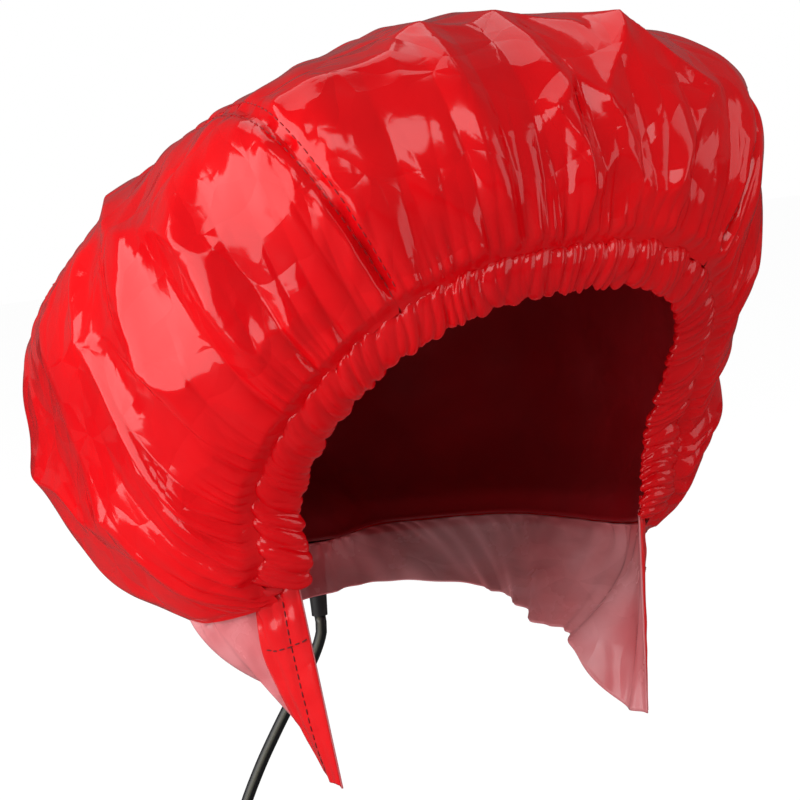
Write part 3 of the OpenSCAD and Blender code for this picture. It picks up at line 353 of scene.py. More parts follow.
def bag_ray(rho, s, inset=0.0, fold=0.0):
    """Turns from the pole towards the rim's point by a share rho, and goes out to the dome there."""
    to_rim = rim(s) - MIDDLE
    reach = np.linalg.norm(to_rim, axis=-1)
    far = to_rim / reach[..., None]
    turn_by = np.arccos(np.clip(far @ POLE, -1, 1))
    rho = np.asarray(rho, float)
    d = (np.sin((1 - rho) * turn_by)[..., None] * POLE
         + np.sin(rho * turn_by)[..., None] * far) / np.sin(turn_by)[..., None]
    away = np.clip((1 - rho) * turn_by / PUFF_ANGLE, 0, 1)
    puff = 1 - (1 - away) ** 2
    r = reach * (1 - puff) + (dome_radius(d) + fold) * puff - inset
    return MIDDLE + d * r[..., None]


def bag(p, q, inset=0.0):
    """The bag's point at a chart place, an inset in millimetres inside it."""
    rho, s = polar(p, q)
    return bag_ray(rho * film_end(s), s, inset, folds(p, q))


def crest(wave):
    """1 where a wave crosses 0, and 0 where it is 1 or -1: a narrow crest between two round valleys."""
    return 1 - np.sqrt((wave ** 2 + 0.03) / 1.03)


def turned(degrees):
    """Sine of an angle in degrees."""
    return np.sin(np.radians(degrees))


def film_lift(p, q):
    """Height of the film's broad folds: crests that fan out from the rim, and a slanting net of them on the
    top and the sides. Each crest runs where a sine of a bent phase crosses zero."""
    rho, s = polar(p, q)
    fan = crest(turned(1800 * s + 25 * turned(900 * s)))
    net = crest(0.5 * turned(650 * p + 325 * q + 45 * turned(430 * q))
                + 0.5 * turned(700 * q - 410 * p + 55 * turned(500 * p)))
    uneven = 0.78 + 0.22 * turned(410 * p - 300 * q + 60)
    still = bell(np.abs(p) - seam_at(q), 0.07) + near_nape(p, q)
    return (FOLD_LIFT * uneven * lerp(net, fan, smooth((rho - 0.3) / 0.45)) * smooth((1 - rho) / 0.1)
            * (1 - np.minimum(still, 1)))


def grid_normals(points):
    """Unit normals of a grid of points, from its two directions."""
    return unit(np.cross(np.gradient(points, axis=1), np.gradient(points, axis=0)))


def finer(grid, rows, cols):
    """The grid redrawn with other numbers of rows and columns, by a cubic through its points."""
    for axis, n in ((0, rows), (1, cols)):
        grid = np.moveaxis(grid, axis, 0)
        m = grid.shape[0]
        t = np.linspace(0, m - 1, n)
        i = np.minimum(t.astype(int), m - 2)
        w = (t - i).reshape((-1,) + (1,) * (grid.ndim - 1))
        b, c = grid[i], grid[i + 1]
        a = np.where((i > 0).reshape(w.shape), grid[np.maximum(i - 1, 0)], 2 * b - c)
        d = np.where((i < m - 2).reshape(w.shape), grid[np.minimum(i + 2, m - 1)], 2 * c - b)
        grid = np.moveaxis(cubic(a, b, c, d, w), 0, axis)
    return grid


FRONT_CORNER, NAPE_CORNER = (0.584, 0.811), (0.42, -0.907)


def centre_chart(u, v):
    """Chart place in the centre panel: u is -1 to 1 across, v is 0 at the forehead and 1 at the nape."""
    q = lerp(FRONT_CORNER[1], NAPE_CORNER[1], v)
    front = np.sqrt(1 - (u * FRONT_CORNER[0]) ** 2) - FRONT_CORNER[1]
    nape = np.sqrt(1 - (u * NAPE_CORNER[0]) ** 2) + NAPE_CORNER[1]
    return u * seam_at(q), q + (1 - v) * front - v * nape


def side_chart(u, v, side):
    """Chart place in a side panel: u is 0 at the seam and 1 at the rim, v runs from temple to nape."""
    q = lerp(FRONT_CORNER[1], NAPE_CORNER[1], v)
    a = lerp(math.atan2(*FRONT_CORNER), math.atan2(*NAPE_CORNER), v)
    return side * lerp(seam_at(q), np.sin(a), u), lerp(q, np.cos(a), u)


print("dome top, mm:", np.round(bag(np.array(0.0), np.array(0.35)), 1))

# %% [markdown]
# ## Film
# The real bag is three panels of thin shiny film, sewn along two seams and drawn up on elastic, so it is
# never smooth. Noise would give it an even grain. Cloth is simulated instead: the three panels are one
# mesh, whose rest lengths are a little longer than the dome, most of all along the gathered rim, so it
# buckles into broad folds that run from the elastic and fade out.

# %% Film charts
CLOTH_ROWS, CLOTH_CENTRE, CLOTH_SIDE = 86, 51, 25


def waves(points, sizes, seed, count=5):
    """A sum of plane waves in random directions; sizes pairs a wavelength in mm with a height."""
    r = np.random.default_rng(seed)
    total = np.zeros(points.shape[:-1])
    for wavelength, height in sizes:
        for _ in range(count):
            k = unit(r.normal(size=3)) * 2 * np.pi / wavelength
            total += height * np.sin(points @ k + r.uniform(0, 2 * np.pi)) / math.sqrt(count)
    return total


def wrinkles(points, wavelength, seed):
    """A net of thin bent crests with smooth hollows between, here and there only: the crests run where a sum
    of waves crosses zero, and a slow wave of another seed says where they show."""
    wave = waves(points, [(wavelength, 0.75), (0.6 * wavelength, 0.22)], seed, 4)
    here = smooth(0.35 + 0.9 * waves(points, [(2.6 * wavelength, 1.0)], seed + 50, 3))
    return here * crest(np.clip(wave, -1, 1))


def panel_charts(rows, centre_cols, side_cols):
    """Chart places of the three panels as grids: the centre panel, then the left and the right one."""
    v = np.linspace(0, 1, rows)[:, None]
    inner = np.clip(v, 0.004, 0.996)
    centre = centre_chart(np.linspace(-1, 1, centre_cols)[None, :], v)
    return [centre] + [side_chart(np.linspace(0, 1, side_cols)[None, :], inner, k) for k in (1, -1)]


ARC_S = np.linspace(-1, 1, 2001)
ARC = distances(rim(ARC_S))
ARC -= ARC[1000]


def along_rim(s):
    """Distance in mm from the middle of the forehead to the rim's point s, by linear interpolation."""
    return np.interp(s, ARC_S, ARC)


def gathered(s):
    """1 along the elastic and 0 along the bound lower edge."""
    return smooth((GATHER_END + 0.09 - np.abs(s)) / 0.1)


def pleats(u, spacing, seed):
    """Uneven waves along the rim: a sine of a wandering phase, sharpened so that the ridges are narrow."""
    phase = 2 * np.pi * u / spacing + 1.5 * np.sin(u / 9.1 + seed) + 1.1 * np.sin(u / 23 + 2 * seed)
    wave = 0.5 + 0.5 * np.sin(phase)
    return wave ** 1.6 - 0.42


print("rim length, mm: %.0f" % (ARC[-1] - ARC[0]))

# %% [markdown]
# ## Film simulation
# Weak springs hold the cloth near the dome, a light pressure puffs it, and no point may move further than
# a cap. The start already has broad waves, so the folds grow in the places and directions that gathers
# give them. A folded place can't sink into the pad under it, so its inward part is pressed flat.

# %% Film simulation
SIM_FRAMES = 26
FURTHEST = 8.0
HOLD, BENDING = 0.34, 16.0
LEVELS = 40


def fill_group(piece, name, values):
    """Stores a weight between 0 and 1 for each point, in steps of 1 over LEVELS."""
    group = piece.vertex_groups.new(name=name)
    level = np.round(values * LEVELS).astype(int)
    for k in np.unique(level):
        group.add(np.nonzero(level == k)[0].tolist(), float(k) / LEVELS, "REPLACE")
    return name


def relaxed(grid, passes=4):
    """Evens a grid out: each point becomes a mean of itself and its four neighbours. The border stays."""
    for _ in range(passes):
        around = grid[:-2, 1:-1] + grid[2:, 1:-1] + grid[1:-1, :-2] + grid[1:-1, 2:]
        grid = grid.copy()
        grid[1:-1, 1:-1] = 0.4 * grid[1:-1, 1:-1] + 0.15 * around
    return grid


def simulate(charts, dome):
    """Runs Blender's cloth on the welded panels and gives back the moved grids."""
    points = np.concatenate([g.reshape(-1, 3) for g in dome])
    p = np.concatenate([c[0].ravel() for c in charts])
    q = np.concatenate([c[1].ravel() for c in charts])
    n_centre, n_side = CLOTH_ROWS * CLOTH_CENTRE, CLOTH_ROWS * CLOTH_SIDE
    index, row = np.arange(len(points)), np.arange(CLOTH_ROWS)
    index[n_centre + row * CLOTH_SIDE] = row * CLOTH_CENTRE + CLOTH_CENTRE - 1
    index[n_centre + n_side + row * CLOTH_SIDE] = row * CLOTH_CENTRE
    faces = index[np.concatenate([
        grid_quads(CLOTH_ROWS, CLOTH_CENTRE), grid_quads(CLOTH_ROWS, CLOTH_SIDE, start=n_centre),
        grid_quads(CLOTH_ROWS, CLOTH_SIDE, start=n_centre + n_side)[:, ::-1]])]
    used, place = np.unique(index, return_inverse=True)
    faces = np.searchsorted(used, faces)
    still = points[used]
    rho, s = polar(p[used], q[used])
    u = along_rim(s)
    rim_near = smooth((rho - 0.35) / 0.6)
    seam = bell(np.abs(p[used]) - seam_at(q[used]), 0.02)
    start = still + unit(still - MIDDLE) * (
        (rim_near * (0.3 + 0.7 * gathered(s)) * 0.9 * pleats(u, 23, 2.3) + 1.0 * wrinkles(still, 80, 21))
        * smooth((1.0 - rho) / 0.12) * (1 - 0.8 * seam))[:, None]
    film = build("film", start, [faces])
    loose = smooth(0.5 + waves(still, [(120, 0.5)], 5))
    hold = np.where(rho > 0.985, 1.0, HOLD + 0.3 * seam)
    grow = np.clip(0.25 + 0.45 * loose + 0.5 * rim_near * (0.4 + 0.6 * gathered(s)), 0, 1)
    modifier = film.modifiers.new("cloth", "CLOTH")
    cloth = modifier.settings
    cloth.quality = 6
    cloth.mass = 0.25
    cloth.tension_stiffness = cloth.compression_stiffness = 30
    cloth.shear_stiffness = 14
    cloth.bending_stiffness = BENDING
    cloth.tension_damping = cloth.compression_damping = cloth.shear_damping = 8
    cloth.bending_damping = 0.6
    cloth.air_damping = 2
    cloth.vertex_group_mass = fill_group(film, "hold", hold)
    cloth.pin_stiffness = 2.0
    cloth.vertex_group_shrink = fill_group(film, "grow", grow)
    cloth.shrink_min = -0.02
    cloth.shrink_max = -0.10
    cloth.use_pressure = True
    cloth.uniform_pressure_force = 1.0
    cloth.effector_weights.gravity = 0.02
    modifier.collision_settings.use_collision = False
    modifier.point_cache.frame_start, modifier.point_cache.frame_end = 1, 60
    for f in range(1, SIM_FRAMES + 1):
        scene.frame_set(f)
    evaluated = film.evaluated_get(bpy.context.evaluated_depsgraph_get())
    moved = np.zeros(len(start) * 3, np.float32)
    evaluated.data.vertices.foreach_get("co", moved)
    moved = moved.reshape(-1, 3).astype(float) / MM
    scene.frame_set(1)
    bpy.data.objects.remove(film)
    shift = moved - still
    size = np.linalg.norm(shift, axis=1, keepdims=True)
    print("film moved, mm: mean %.2f, most %.2f" % (size.mean(), size.max()))
    shift = (shift * np.minimum(1, FURTHEST / np.maximum(size, 1e-9)))[place]
    cuts = np.cumsum([0, n_centre, n_side, n_side])
    return [g + relaxed(shift[a:b].reshape(g.shape)) for a, b, g in zip(cuts[:-1], cuts[1:], dome)]


cloth_charts = panel_charts(CLOTH_ROWS, CLOTH_CENTRE, CLOTH_SIDE)
cloth_dome = [bag(p, q, -film_lift(p, q)) for p, q in cloth_charts]
began = time.time()
film_grids = simulate(cloth_charts, cloth_dome)
print("simulated in %.0f s" % (time.time() - began))

# %% [markdown]
# ## Film panels
# Each panel is redrawn on a fine grid. Close to the elastic the film is also drawn up into small pleats,
# which are too fine for the simulated cloth: waves along the rim that fade out over one to three
# centimetres. The seams are pinched, because the thread pulls the film in. The few large creases that give
# this cap its look are listed on the chart, as lines with a height and a width.

# %% Film panels
PANELS = ["outer_centre_panel", "outer_side_panel_left", "outer_side_panel_right"]
PANEL_SIZES = [(381, 251), (561, 117), (561, 117)]
LOWEST, SUNK, SINK = -0.9, 1.8, 1.3
CHART_MM, SEAM_MM = 165, 150
PINCH, PUCKER = 0.9, 0.9
# Rows of puffs along the elastic, all in mm but the lean and its start: height, lean, length of the lean's
# wave, its start, spacing, and how far from the elastic they are highest and fade.
PUFF_ROWS = [(1.7, 0.6, 9, 0, 4.9, 0, 9), (1.9, 0.9, 16, 1, 9.3, 3, 19), (2.1, 0.7, 25, 0, 17.5, 12, 26)]


def puffs(u, lean, spacing=4.9):
    """Row of puffs: the size of a sine of a wandering phase, which is round on top and sharp between."""
    phase = (np.pi * u / spacing + 1.5 * np.sin(u / (1.5 * spacing)) + 1.2 * np.sin(u / (3.7 * spacing) + 1)
             + 0.5 * np.sin(u / (0.63 * spacing) + 2) + lean)
    return np.abs(np.sin(phase)) ** 0.8


SOFT = 1.3


def pressed(height, lowest):
    """Leaves a height above the pad as it is and flattens what would sink in: a soft maximum."""
    t = (height - lowest) / SOFT
    return lowest + SOFT * np.where(t > 20, t, np.log1p(np.exp(np.minimum(t, 20))))


# Broad valleys, each with a shoulder on either side: depth and half width in mm, then places on the chart.
VALLEYS = [
    (9.0, 9, [(-0.52, 0.46), (-0.60, 0.64), (-0.65, 0.74)]),
    (8.0, 8, [(-0.44, 0.64), (-0.39, 0.80), (-0.32, 0.93)]),
    (6.0, 8, [(-0.30, 0.56), (-0.10, 0.58), (0.10, 0.62)]),
    (7.0, 9, [(-0.85, 0.02), (-0.74, 0.04), (-0.62, 0.12)]),
    (7.0, 8, [(0.20, 0.93), (0.24, 0.82), (0.30, 0.74)]),
    (7.0, 9, [(0.60, 0.68), (0.66, 0.45), (0.70, 0.20)]),
    (7.0, 10, [(-0.30, -0.20), (0.05, -0.45), (0.30, -0.40)]),
    (7.0, 9, [(-0.10, 0.20), (0.15, 0.05), (0.28, -0.15)]),
    (7.0, 9, [(0.10, -0.85), (0.14, -0.70), (0.05, -0.60)]),
]
# Sharp crests: height and width in mm, then places.
CRESTS = [
    (3.6, 6, [(-0.50, 0.55), (-0.30, 0.65), (-0.10, 0.64), (0.12, 0.67)]),
    (4.2, 6, [(-0.50, 0.12), (-0.62, 0.31), (-0.64, 0.46)]),
    (3.8, 5, [(-0.60, -0.02), (-0.74, 0.17), (-0.80, 0.34)]),
    (3.0, 4, [(-0.70, 0.46), (-0.76, 0.52), (-0.73, 0.60)]),
    (3.0, 4, [(-0.06, 0.83), (0.04, 0.81), (0.13, 0.86)]),
    (3.4, 4, [(-0.04, 0.83), (0.01, 0.88), (-0.01, 0.96)]),
    (3.4, 4, [(0.01, 0.94), (0.12, 0.90), (0.25, 0.91), (0.40, 0.88)]),
    (3.6, 5, [(0.20, 0.68), (0.14, 0.78), (0.11, 0.84)]),
    (3.6, 5, [(0.20, 0.68), (0.30, 0.72), (0.40, 0.70), (0.35, 0.80), (0.28, 0.89)]),
    (3.4, 5, [(0.10, 0.10), (-0.15, 0.25), (-0.35, 0.20)]),
    (3.4, 5, [(0.55, 0.30), (0.62, 0.05), (0.75, -0.10)]),
    (3.4, 5, [(-0.55, -0.45), (-0.68, -0.40), (-0.75, -0.25)]),
    (3.4, 5, [(-0.25, -0.55), (-0.05, -0.62), (0.20, -0.50)]),
]


def line_far(p, q, line):
    """Distance in mm from chart places to a line of points: the least over its stretches."""
    least = np.full(np.shape(p), 1e9)
    for (ap, aq), (bp, bq) in zip(line[:-1], line[1:]):
        along = np.clip(((p - ap) * (bp - ap) + (q - aq) * (bq - aq)) / ((bp - ap) ** 2 + (bq - aq) ** 2), 0, 1)
        least = np.minimum(least, np.hypot(p - ap - along * (bp - ap), q - aq - along * (bq - aq)))
    return least * CHART_MM


def valleys(p, q):
    """Each valley is a narrow bell below a wide one, so that the film stands up on both sides of it."""
    total = np.zeros(np.shape(p))
    for deep, wide, line in VALLEYS:
        far = line_far(p, q, line)
        total += deep * (0.6 * bell(far, 2.5 * wide) - bell(far, wide))
    return total


def crests(p, q):
    """Crests that fall off exponentially from their lines, which slow waves bend."""
    p, q = p + 0.014 * np.sin(31 * q + 9 * p), q + 0.014 * np.sin(27 * p - 8 * q)
    return sum(high * np.exp((0.5 - np.hypot(line_far(p, q, line), 0.5)) / wide)
               for high, wide, line in CRESTS)


def film_surface(grid, chart, rows, cols):
    """The fine panel: the simulated folds with their inward part pressed flat, small pleats and seams."""
    p, q = finer(chart[0], rows, cols), finer(chart[1], rows, cols)
    dome = bag(p, q)
    moved = finer(grid, rows, cols)
    out = unit(dome - MIDDLE)
    shift = moved - dome
    height = (shift * out).sum(-1)
    rho, s = polar(p, q)
    u = along_rim(s) + 6 * (1 - rho) * np.sin(along_rim(s) / 31)
    away = (1 - rho) * CHART_MM
    small = gathered(s) * sum(
        high * puffs(u, lean * np.sin(away / long + start), spacing) * bell(away - peak, fade)
        for high, lean, long, start, spacing, peak, fade in PUFF_ROWS)
    small += (2.0 * wrinkles(dome, 64, 7) + 0.5 * wrinkles(dome, 34, 9)) * smooth((away - 2) / 14)
    seam = np.abs(np.abs(p) - seam_at(q)) * SEAM_MM
    pinch = bell(seam, 2.2) * smooth(away / 8)
    puckers = PUCKER * bell(seam, 9) * pleats(q * 140 + 40 * np.sign(p), 8.3, 1.2)
    free = smooth(away / 20) * (1 - np.minimum(bell(seam, 12) + near_nape(p, q), 1))
    lowest = LOWEST - SUNK * free
    height = height + valleys(p, q) * smooth(away / 12) - SINK * free
    small = small + crests(p, q) * smooth((away - 2) / 8)
    rest = pressed(height, lowest) + (small * smooth(away / 3) + puckers) * (1 - pinch) - PINCH * pinch
    fade = smooth((1.0 - rho) / 0.02)
    sideways = shift - out * height[..., None]
    return dome + sideways * fade[..., None] + out * (np.maximum(rest, lowest) * fade)[..., None], p, q


def skin_area(grid):
    """Area of a grid in square metres: the sum of the parallelograms at its points."""
    a, b = grid[1:, :-1] - grid[:-1, :-1], grid[:-1, 1:] - grid[:-1, :-1]
    return float(np.linalg.norm(np.cross(a, b), axis=-1).sum()) / 1e6


film_pieces, film_fine = [], []
for name, grid, chart, (rows, cols) in zip(PANELS, film_grids, cloth_charts, PANEL_SIZES):
    fine, p, q = film_surface(grid, chart, rows, cols)
    film_fine.append(fine)
    if name.endswith("right"):
        fine, p, q = fine[:, ::-1], p[:, ::-1], q[:, ::-1]
    quads = grid_quads(rows, cols)
    piece = build("film_" + name[6:], fine, [quads], uv=np.stack([p, q], -1))
    film_pieces.append(settle(piece, "red_film", name))
    print(piece.name, len(quads) * 2, "triangles, %.4f m2" % skin_area(fine))

# %% [markdown]
# ## Gathered casing
# The elastic runs in a tube of film along the front opening. Slack elastic bunches the film, so the tube
# becomes a row of small puffs with sharp valleys between them. It is a sweep: an ellipse carried along the
# opening, whose thickness follows the lobes of a sine that never goes below zero.

# %% Gathered casing
CASING_HALF, OVERLAP = 3.3, 0.5
CASING_END = GATHER_END + 0.009
CASING_RINGS, CASING_SIDES = 900, 44


def casing_frames(s):
    """Middle, across, outward and half width of the casing; across points from the film to the opening."""
    edge, out = bag_ray(np.full_like(s, EDGE_SHARE), s), rim(s)
    ahead = unit(rim(s + 0.004) - rim(s - 0.004))
    across = unit(out - edge)
    normal = unit(np.cross(across, ahead))
    half = np.linalg.norm(out - edge, axis=-1) / 2
    return (edge + out) / 2, across, normal, half


s_line = np.linspace(-CASING_END, CASING_END, CASING_RINGS)
middle, across, normal, half = casing_frames(s_line)
turn = np.arange(CASING_SIDES) * 2 * np.pi / CASING_SIDES
u = along_rim(s_line)[:, None] + 1.2 * np.sin(turn + 0.4)[None, :]
lean = 1.3 * np.sin(u / 11) * np.cos(turn)[None, :] + 0.7 * np.sin(2 * turn + u / 13)
calm = smooth(0.5 + 0.9 * np.sin(u / 15 + 2 * np.sin(u / 37)))
lobe = lerp(0.75, puffs(u, lean, 4.4), 0.35 + 0.65 * calm)
wide_lobe = puffs(u, 0.6 * np.cos(turn)[None, :] + 1.0, 8.3)
big = puffs(u, 0.8 * np.sin(turn)[None, :], 17)
edge_wave = 1 + 0.15 * (lobe - 0.6) + 0.18 * (wide_lobe - 0.6) + 0.14 * (big - 0.6)
thick_wave = 0.30 + 0.36 * lobe + 0.34 * wide_lobe + 0.26 * big
taper = smooth((CASING_END - np.abs(s_line)) / 0.010)[:, None] * 0.7 + 0.3
over = (half[:, None] + OVERLAP) * edge_wave * np.cos(turn)
rise = CASING_HALF * thick_wave * taper * np.sin(turn) - half[:, None] / 24 * np.cos(turn) ** 2
casing = settle(swept("gathered_casing", middle - across * OVERLAP, across, normal, over, rise,
                      pairs(u, turn), flip=True), "red_film", "front_casing")
print("casing half width, mm: %.1f to %.1f" % (half.min(), half.max()))

# %% [markdown]
# ## Inner layers
# Under the film lie the wadding, the heater cloth and the lining. Each is one closed skin: rings of points
# out from the middle of the chart on its outer face, and back again on its inner face. Solidify could give
# one surface its wall too, but here the outer and the inner face already come from the same formula.

# %% Inner layers
def layer(name, reach, depth, thickness, sectors=128, rings=48, push=None):
    """A closed layer under the dome: reach is how far out it goes, and depth(p, q) how deep it lies."""
    h = np.linspace(0, reach, rings + 1)[1:, None]
    a = np.arange(sectors)[None, :] * 2 * np.pi / sectors
    p, q = h * np.sin(a), h * np.cos(a)
    shift = 0 if push is None else push(p, q)
    faces = [bag(p, q, depth(p, q) + t) - shift for t in (0.0, thickness)]
    zero = np.zeros(1)
    poles = np.concatenate([bag(zero, zero, depth(zero, zero) + t) for t in (0.0, thickness)])
    points = np.concatenate([faces[0], faces[1][::-1]]).reshape(-1, 3)
    flat = np.concatenate([np.stack([p, q], -1), np.stack([p, q], -1)[::-1]]).reshape(-1, 2)
    return build(name, np.concatenate([points, poles]), inside_out(tube_faces(2 * rings, sectors)),
                 uv=np.concatenate([flat, [[0, 0], [0, 0]]]))


PAD_REACH, PAD_IN, PAD_T = 0.93, 3.3, 1.9
HEATER_REACH, HEATER_IN, HEATER_T = 0.76, 7.6, 0.5
LINING_REACH, LINING_IN, LINING_END_IN, LINING_T = 0.99, 8.6, 5.0, 0.6
QUILT_HIGH, QUILT_RATE = 0.35, 40
BAY_DEPTH, BAY_Q, BAY_WIDE, BAY_TALL = 11, -0.6, 0.2, 0.27


def evenly(depth):
    """A depth that is the same all over a layer."""
    return lambda p, q: np.full(np.shape(p), depth)


def lining_depth(p, q):
    """Even under the heater cloth, shallow at the sewn edge, with a bay for the thermostats."""
    even = lerp(LINING_IN, LINING_END_IN, smooth((np.hypot(p, q) - 0.93) / 0.06))
    quilting = QUILT_HIGH * np.sin(QUILT_RATE * p) * np.sin(QUILT_RATE * q)
    bay = BAY_DEPTH * bell(p, BAY_WIDE) * bell(q - BAY_Q, BAY_TALL)
    return even + quilting * smooth((0.9 - np.hypot(p, q)) / 0.1) + bay


def nape_push(s):
    """How far the edges of the lining and the flap stand forward at the nape, clear of the cord, in mm."""
    return 20 * smooth(1 - (1 - np.abs(s)) / 0.1)


def lining_push(p, q):
    """The nape's push on the lining, which grows from nothing at 0.8 of the way to the rim."""
    rho, s = polar(p, q)
    move = nape_push(s) * smooth((rho - 0.8) / 0.12)
    return move[..., None] * np.array([0, 1.0, 0])


pad = layer("wadding_layer", PAD_REACH, evenly(PAD_IN), PAD_T)
heater = layer("heater_cloth_layer", HEATER_REACH, evenly(HEATER_IN), HEATER_T)
lining = layer("quilted_lining", LINING_REACH, lining_depth, LINING_T, sectors=256, rings=100,
               push=lining_push)
settle(pad, "wadding", "insulation_pad")
settle(heater, "heater_fabric", "heater_cloth")
settle(lining, "lining_film", "lining")
print("inner layers", [p.name for p in (pad, heater, lining)])

# %% [markdown]
# ## Seam tapes
# A tape lies inside each seam, across the cut edges of both panels. It is a strip of the bag's own chart,
# laid a little inside the film, so it follows the seam without any fitting.

# %% Seam tapes
TAPE_IN, TAPE_T, TAPE_HALF = 1.5, 0.6, 0.026


def thick(name, outer, inner, uv=None):
    """Closes two grids of the same size, one face and the other, into one solid sheet."""
    rows, cols = outer.shape[:2]
    count = rows * cols
    numbers = np.arange(count).reshape(rows, cols)
    border = np.concatenate([numbers[0], numbers[1:, -1], numbers[-1, -2::-1], numbers[-2:0:-1, 0]])
    after = np.roll(border, -1)
    walls = np.stack([border, border + count, after + count, after], -1)
    quads = grid_quads(rows, cols)
    points = np.concatenate([outer.reshape(-1, 3), inner.reshape(-1, 3)])
    both = None if uv is None else np.concatenate([uv.reshape(-1, 2)] * 2)
    return build(name, points, [quads, quads[:, ::-1] + count, walls], uv=both)


for side, name in ((1, "seam_tape_left"), (-1, "seam_tape_right")):
    q = np.linspace(0.70, -0.80, 121)[:, None]
    p = seam_at(q) + np.linspace(-TAPE_HALF, TAPE_HALF, 9)[None, ::side]
    p, q = np.broadcast_arrays(side * p, q)
    tape = thick("woven_" + name, bag(p, q, TAPE_IN), bag(p, q, TAPE_IN + TAPE_T),
                 np.stack([p, q], -1) * SEAM_MM)
    settle(tape, "red_tape", name)

# %% [markdown]
# ## Bound lower edge
# Below the ears and round the nape the film isn't gathered. Its edge is wrapped in a strip of film, which
# shows as a bright rolled bead. It is swept along the rim, with a few puckers from the sewing.

# %% Bound lower edge
BOUND_START, BOUND_END, BOUND_RINGS, BOUND_SIDES = GATHER_END + 0.012, 0.945, 260, 20
BOUND_HALF_WIDE, BOUND_HALF_THICK = 4.4, 1.95


def bound_edge(name, side):
    """A flattened tube along the lower rim, which tapers at both ends."""
    s = side * np.linspace(BOUND_START, BOUND_END, BOUND_RINGS)
    at = bag_ray(np.full_like(s, 0.972), s, 1.55)
    low = bag_ray(np.full_like(s, 0.999), s, 1.55)
    across = unit(low - at)
    ahead = unit(np.gradient(at, axis=0)) * side
    normal = unit(np.cross(across, ahead))
    turn = np.arange(BOUND_SIDES) * 2 * np.pi / BOUND_SIDES
    u = along_rim(s)
    pucker = 1 + 0.10 * np.sin(u / 1.9 + 1.6 * np.sin(u / 8)) + 0.06 * np.sin(u / 5.3)
    size = (pucker * smooth((np.abs(s) - BOUND_START) / 0.012 + 0.25)
            * smooth((BOUND_END - np.abs(s)) / 0.012 + 0.25))[:, None]
    return swept(name, at, across, normal, BOUND_HALF_WIDE * size * np.cos(turn),
                 BOUND_HALF_THICK * size * np.sin(turn), pairs(u[:, None], turn), flip=side > 0)


for side, word in ((1, "left"), (-1, "right")):
    settle(bound_edge("bound_edge_" + word, side), "red_tape", "bottom_binding_" + word)

# %% [markdown]
# ## Neck flap
# A loose flap of thinner, cloudy film hangs from the lower edge, from one end of the elastic round the nape
# to the other. Nothing holds its free edge, so it hangs in soft lengthwise folds that grow downwards. Cloth
# would hang like this by itself, but a grid between two drawn curves keeps the flap's tips where they are.

# %% Neck flap
FLAP_START, FLAP_IN, FLAP_T, TIP_DROP = 0.562, 3.9, 0.6, 11.0
FLAP_ROWS, FLAP_COLS = 61, 421
SIDE_LOW = np.array([[66, -24, -170], [60, 6, -148.93], [58, 27, -141.19], [53, 49, -133.88],
                     [40, 74, -128.29]], float)
FLAP_LOW = np.concatenate([SIDE_LOW, [[0, 88, -127]], SIDE_LOW[::-1] * [-1, 1, 1]])


def on_line(points, t):
    """A smooth curve through points; t counts them, with the same cubic as the rim's."""
    m = len(points) - 1
    t = np.clip(t, 0, m)
    i = np.minimum(t.astype(int), m - 1)
    w = (t - i)[..., None]
    a, b = points[np.maximum(i - 1, 0)], points[i]
    c, d = points[i + 1], points[np.minimum(i + 2, m)]
    return cubic(a, b, c, d, w)


def flap_grid(s, t):
    """From the sewn edge (t is 0) to the free edge (t is 1); s runs on past the nape (1) to the right side."""
    s, t = np.broadcast_arrays(s, t)
    ray = np.where(s > 1, s - 2, s)
    top = bag_ray(np.full(s.shape, 0.99), ray, FLAP_IN) - (0.8 * nape_push(ray))[..., None] * [0, 1.0, 0]
    turns = (s - FLAP_START) / (1 - FLAP_START)
    low = on_line(FLAP_LOW, 5 * turns)
    middle = (top + low) / 2 - [0, 30, 0]
    out = unit(middle * [1, 1, 0])
    edge = smooth(np.minimum(s - FLAP_START, 2 - FLAP_START - s) / 0.06)
    wave = 2 * t * np.sin(2 * np.pi * 3.5 * turns)
    from_tip = np.minimum(turns, 2 - turns)
    low = low - (TIP_DROP * bell(from_tip - 0.12, 0.08))[..., None] * [0, 0, 1.0]
    mm = turns * 180
    soft = (1.5 * np.sin(mm / 4.3 + 1.6 * np.sin(mm / 17) + 1.2 * t) * (0.35 + 0.65 * t)
            + 0.8 * np.sin(mm / 2.1 + 2 * np.sin(mm / 9) - 2 * t) * (0.5 + 0.5 * t)
            + 0.9 * bell(t, 0.25) * np.sin(mm / 1.25 + 2 * np.sin(mm / 7)) * smooth(t / 0.06))
    beside_hem = bell(from_tip - 0.27, 0.06) * np.sin(np.pi * np.clip(t, 0, 1)) ** 0.7
    bulge = 3 * np.sin(np.pi * t) + wave + 7 * beside_hem - 6 * bell(from_tip - 0.40, 0.08) * np.clip(t, 0, 1)
    return lerp(top, low, t[..., None]) + out * (bulge * edge + soft * (0.25 + 0.75 * edge))[..., None]


def flap_faces(grid):
    """Unit normals of a flap grid that point away from the neck."""
    n = -unit(np.cross(np.gradient(grid, axis=0), np.gradient(grid, axis=1)))
    return n * np.sign((n * (grid * [1, 1, 0])).sum(-1).mean())


flap_s = np.linspace(FLAP_START, 2 - FLAP_START, FLAP_COLS)[None, :]
flap_t = np.linspace(0, 1, FLAP_ROWS)[:, None]
sheet = flap_grid(flap_s, flap_t)
half = flap_faces(sheet) * FLAP_T / 2
flap = thick("hanging_flap", sheet + half, sheet - half, pairs((flap_s - 1) * 400, flap_t * 80))
settle(flap, "flap_film", "neck_flap")
print("flap area, m2: %.4f" % skin_area(sheet))

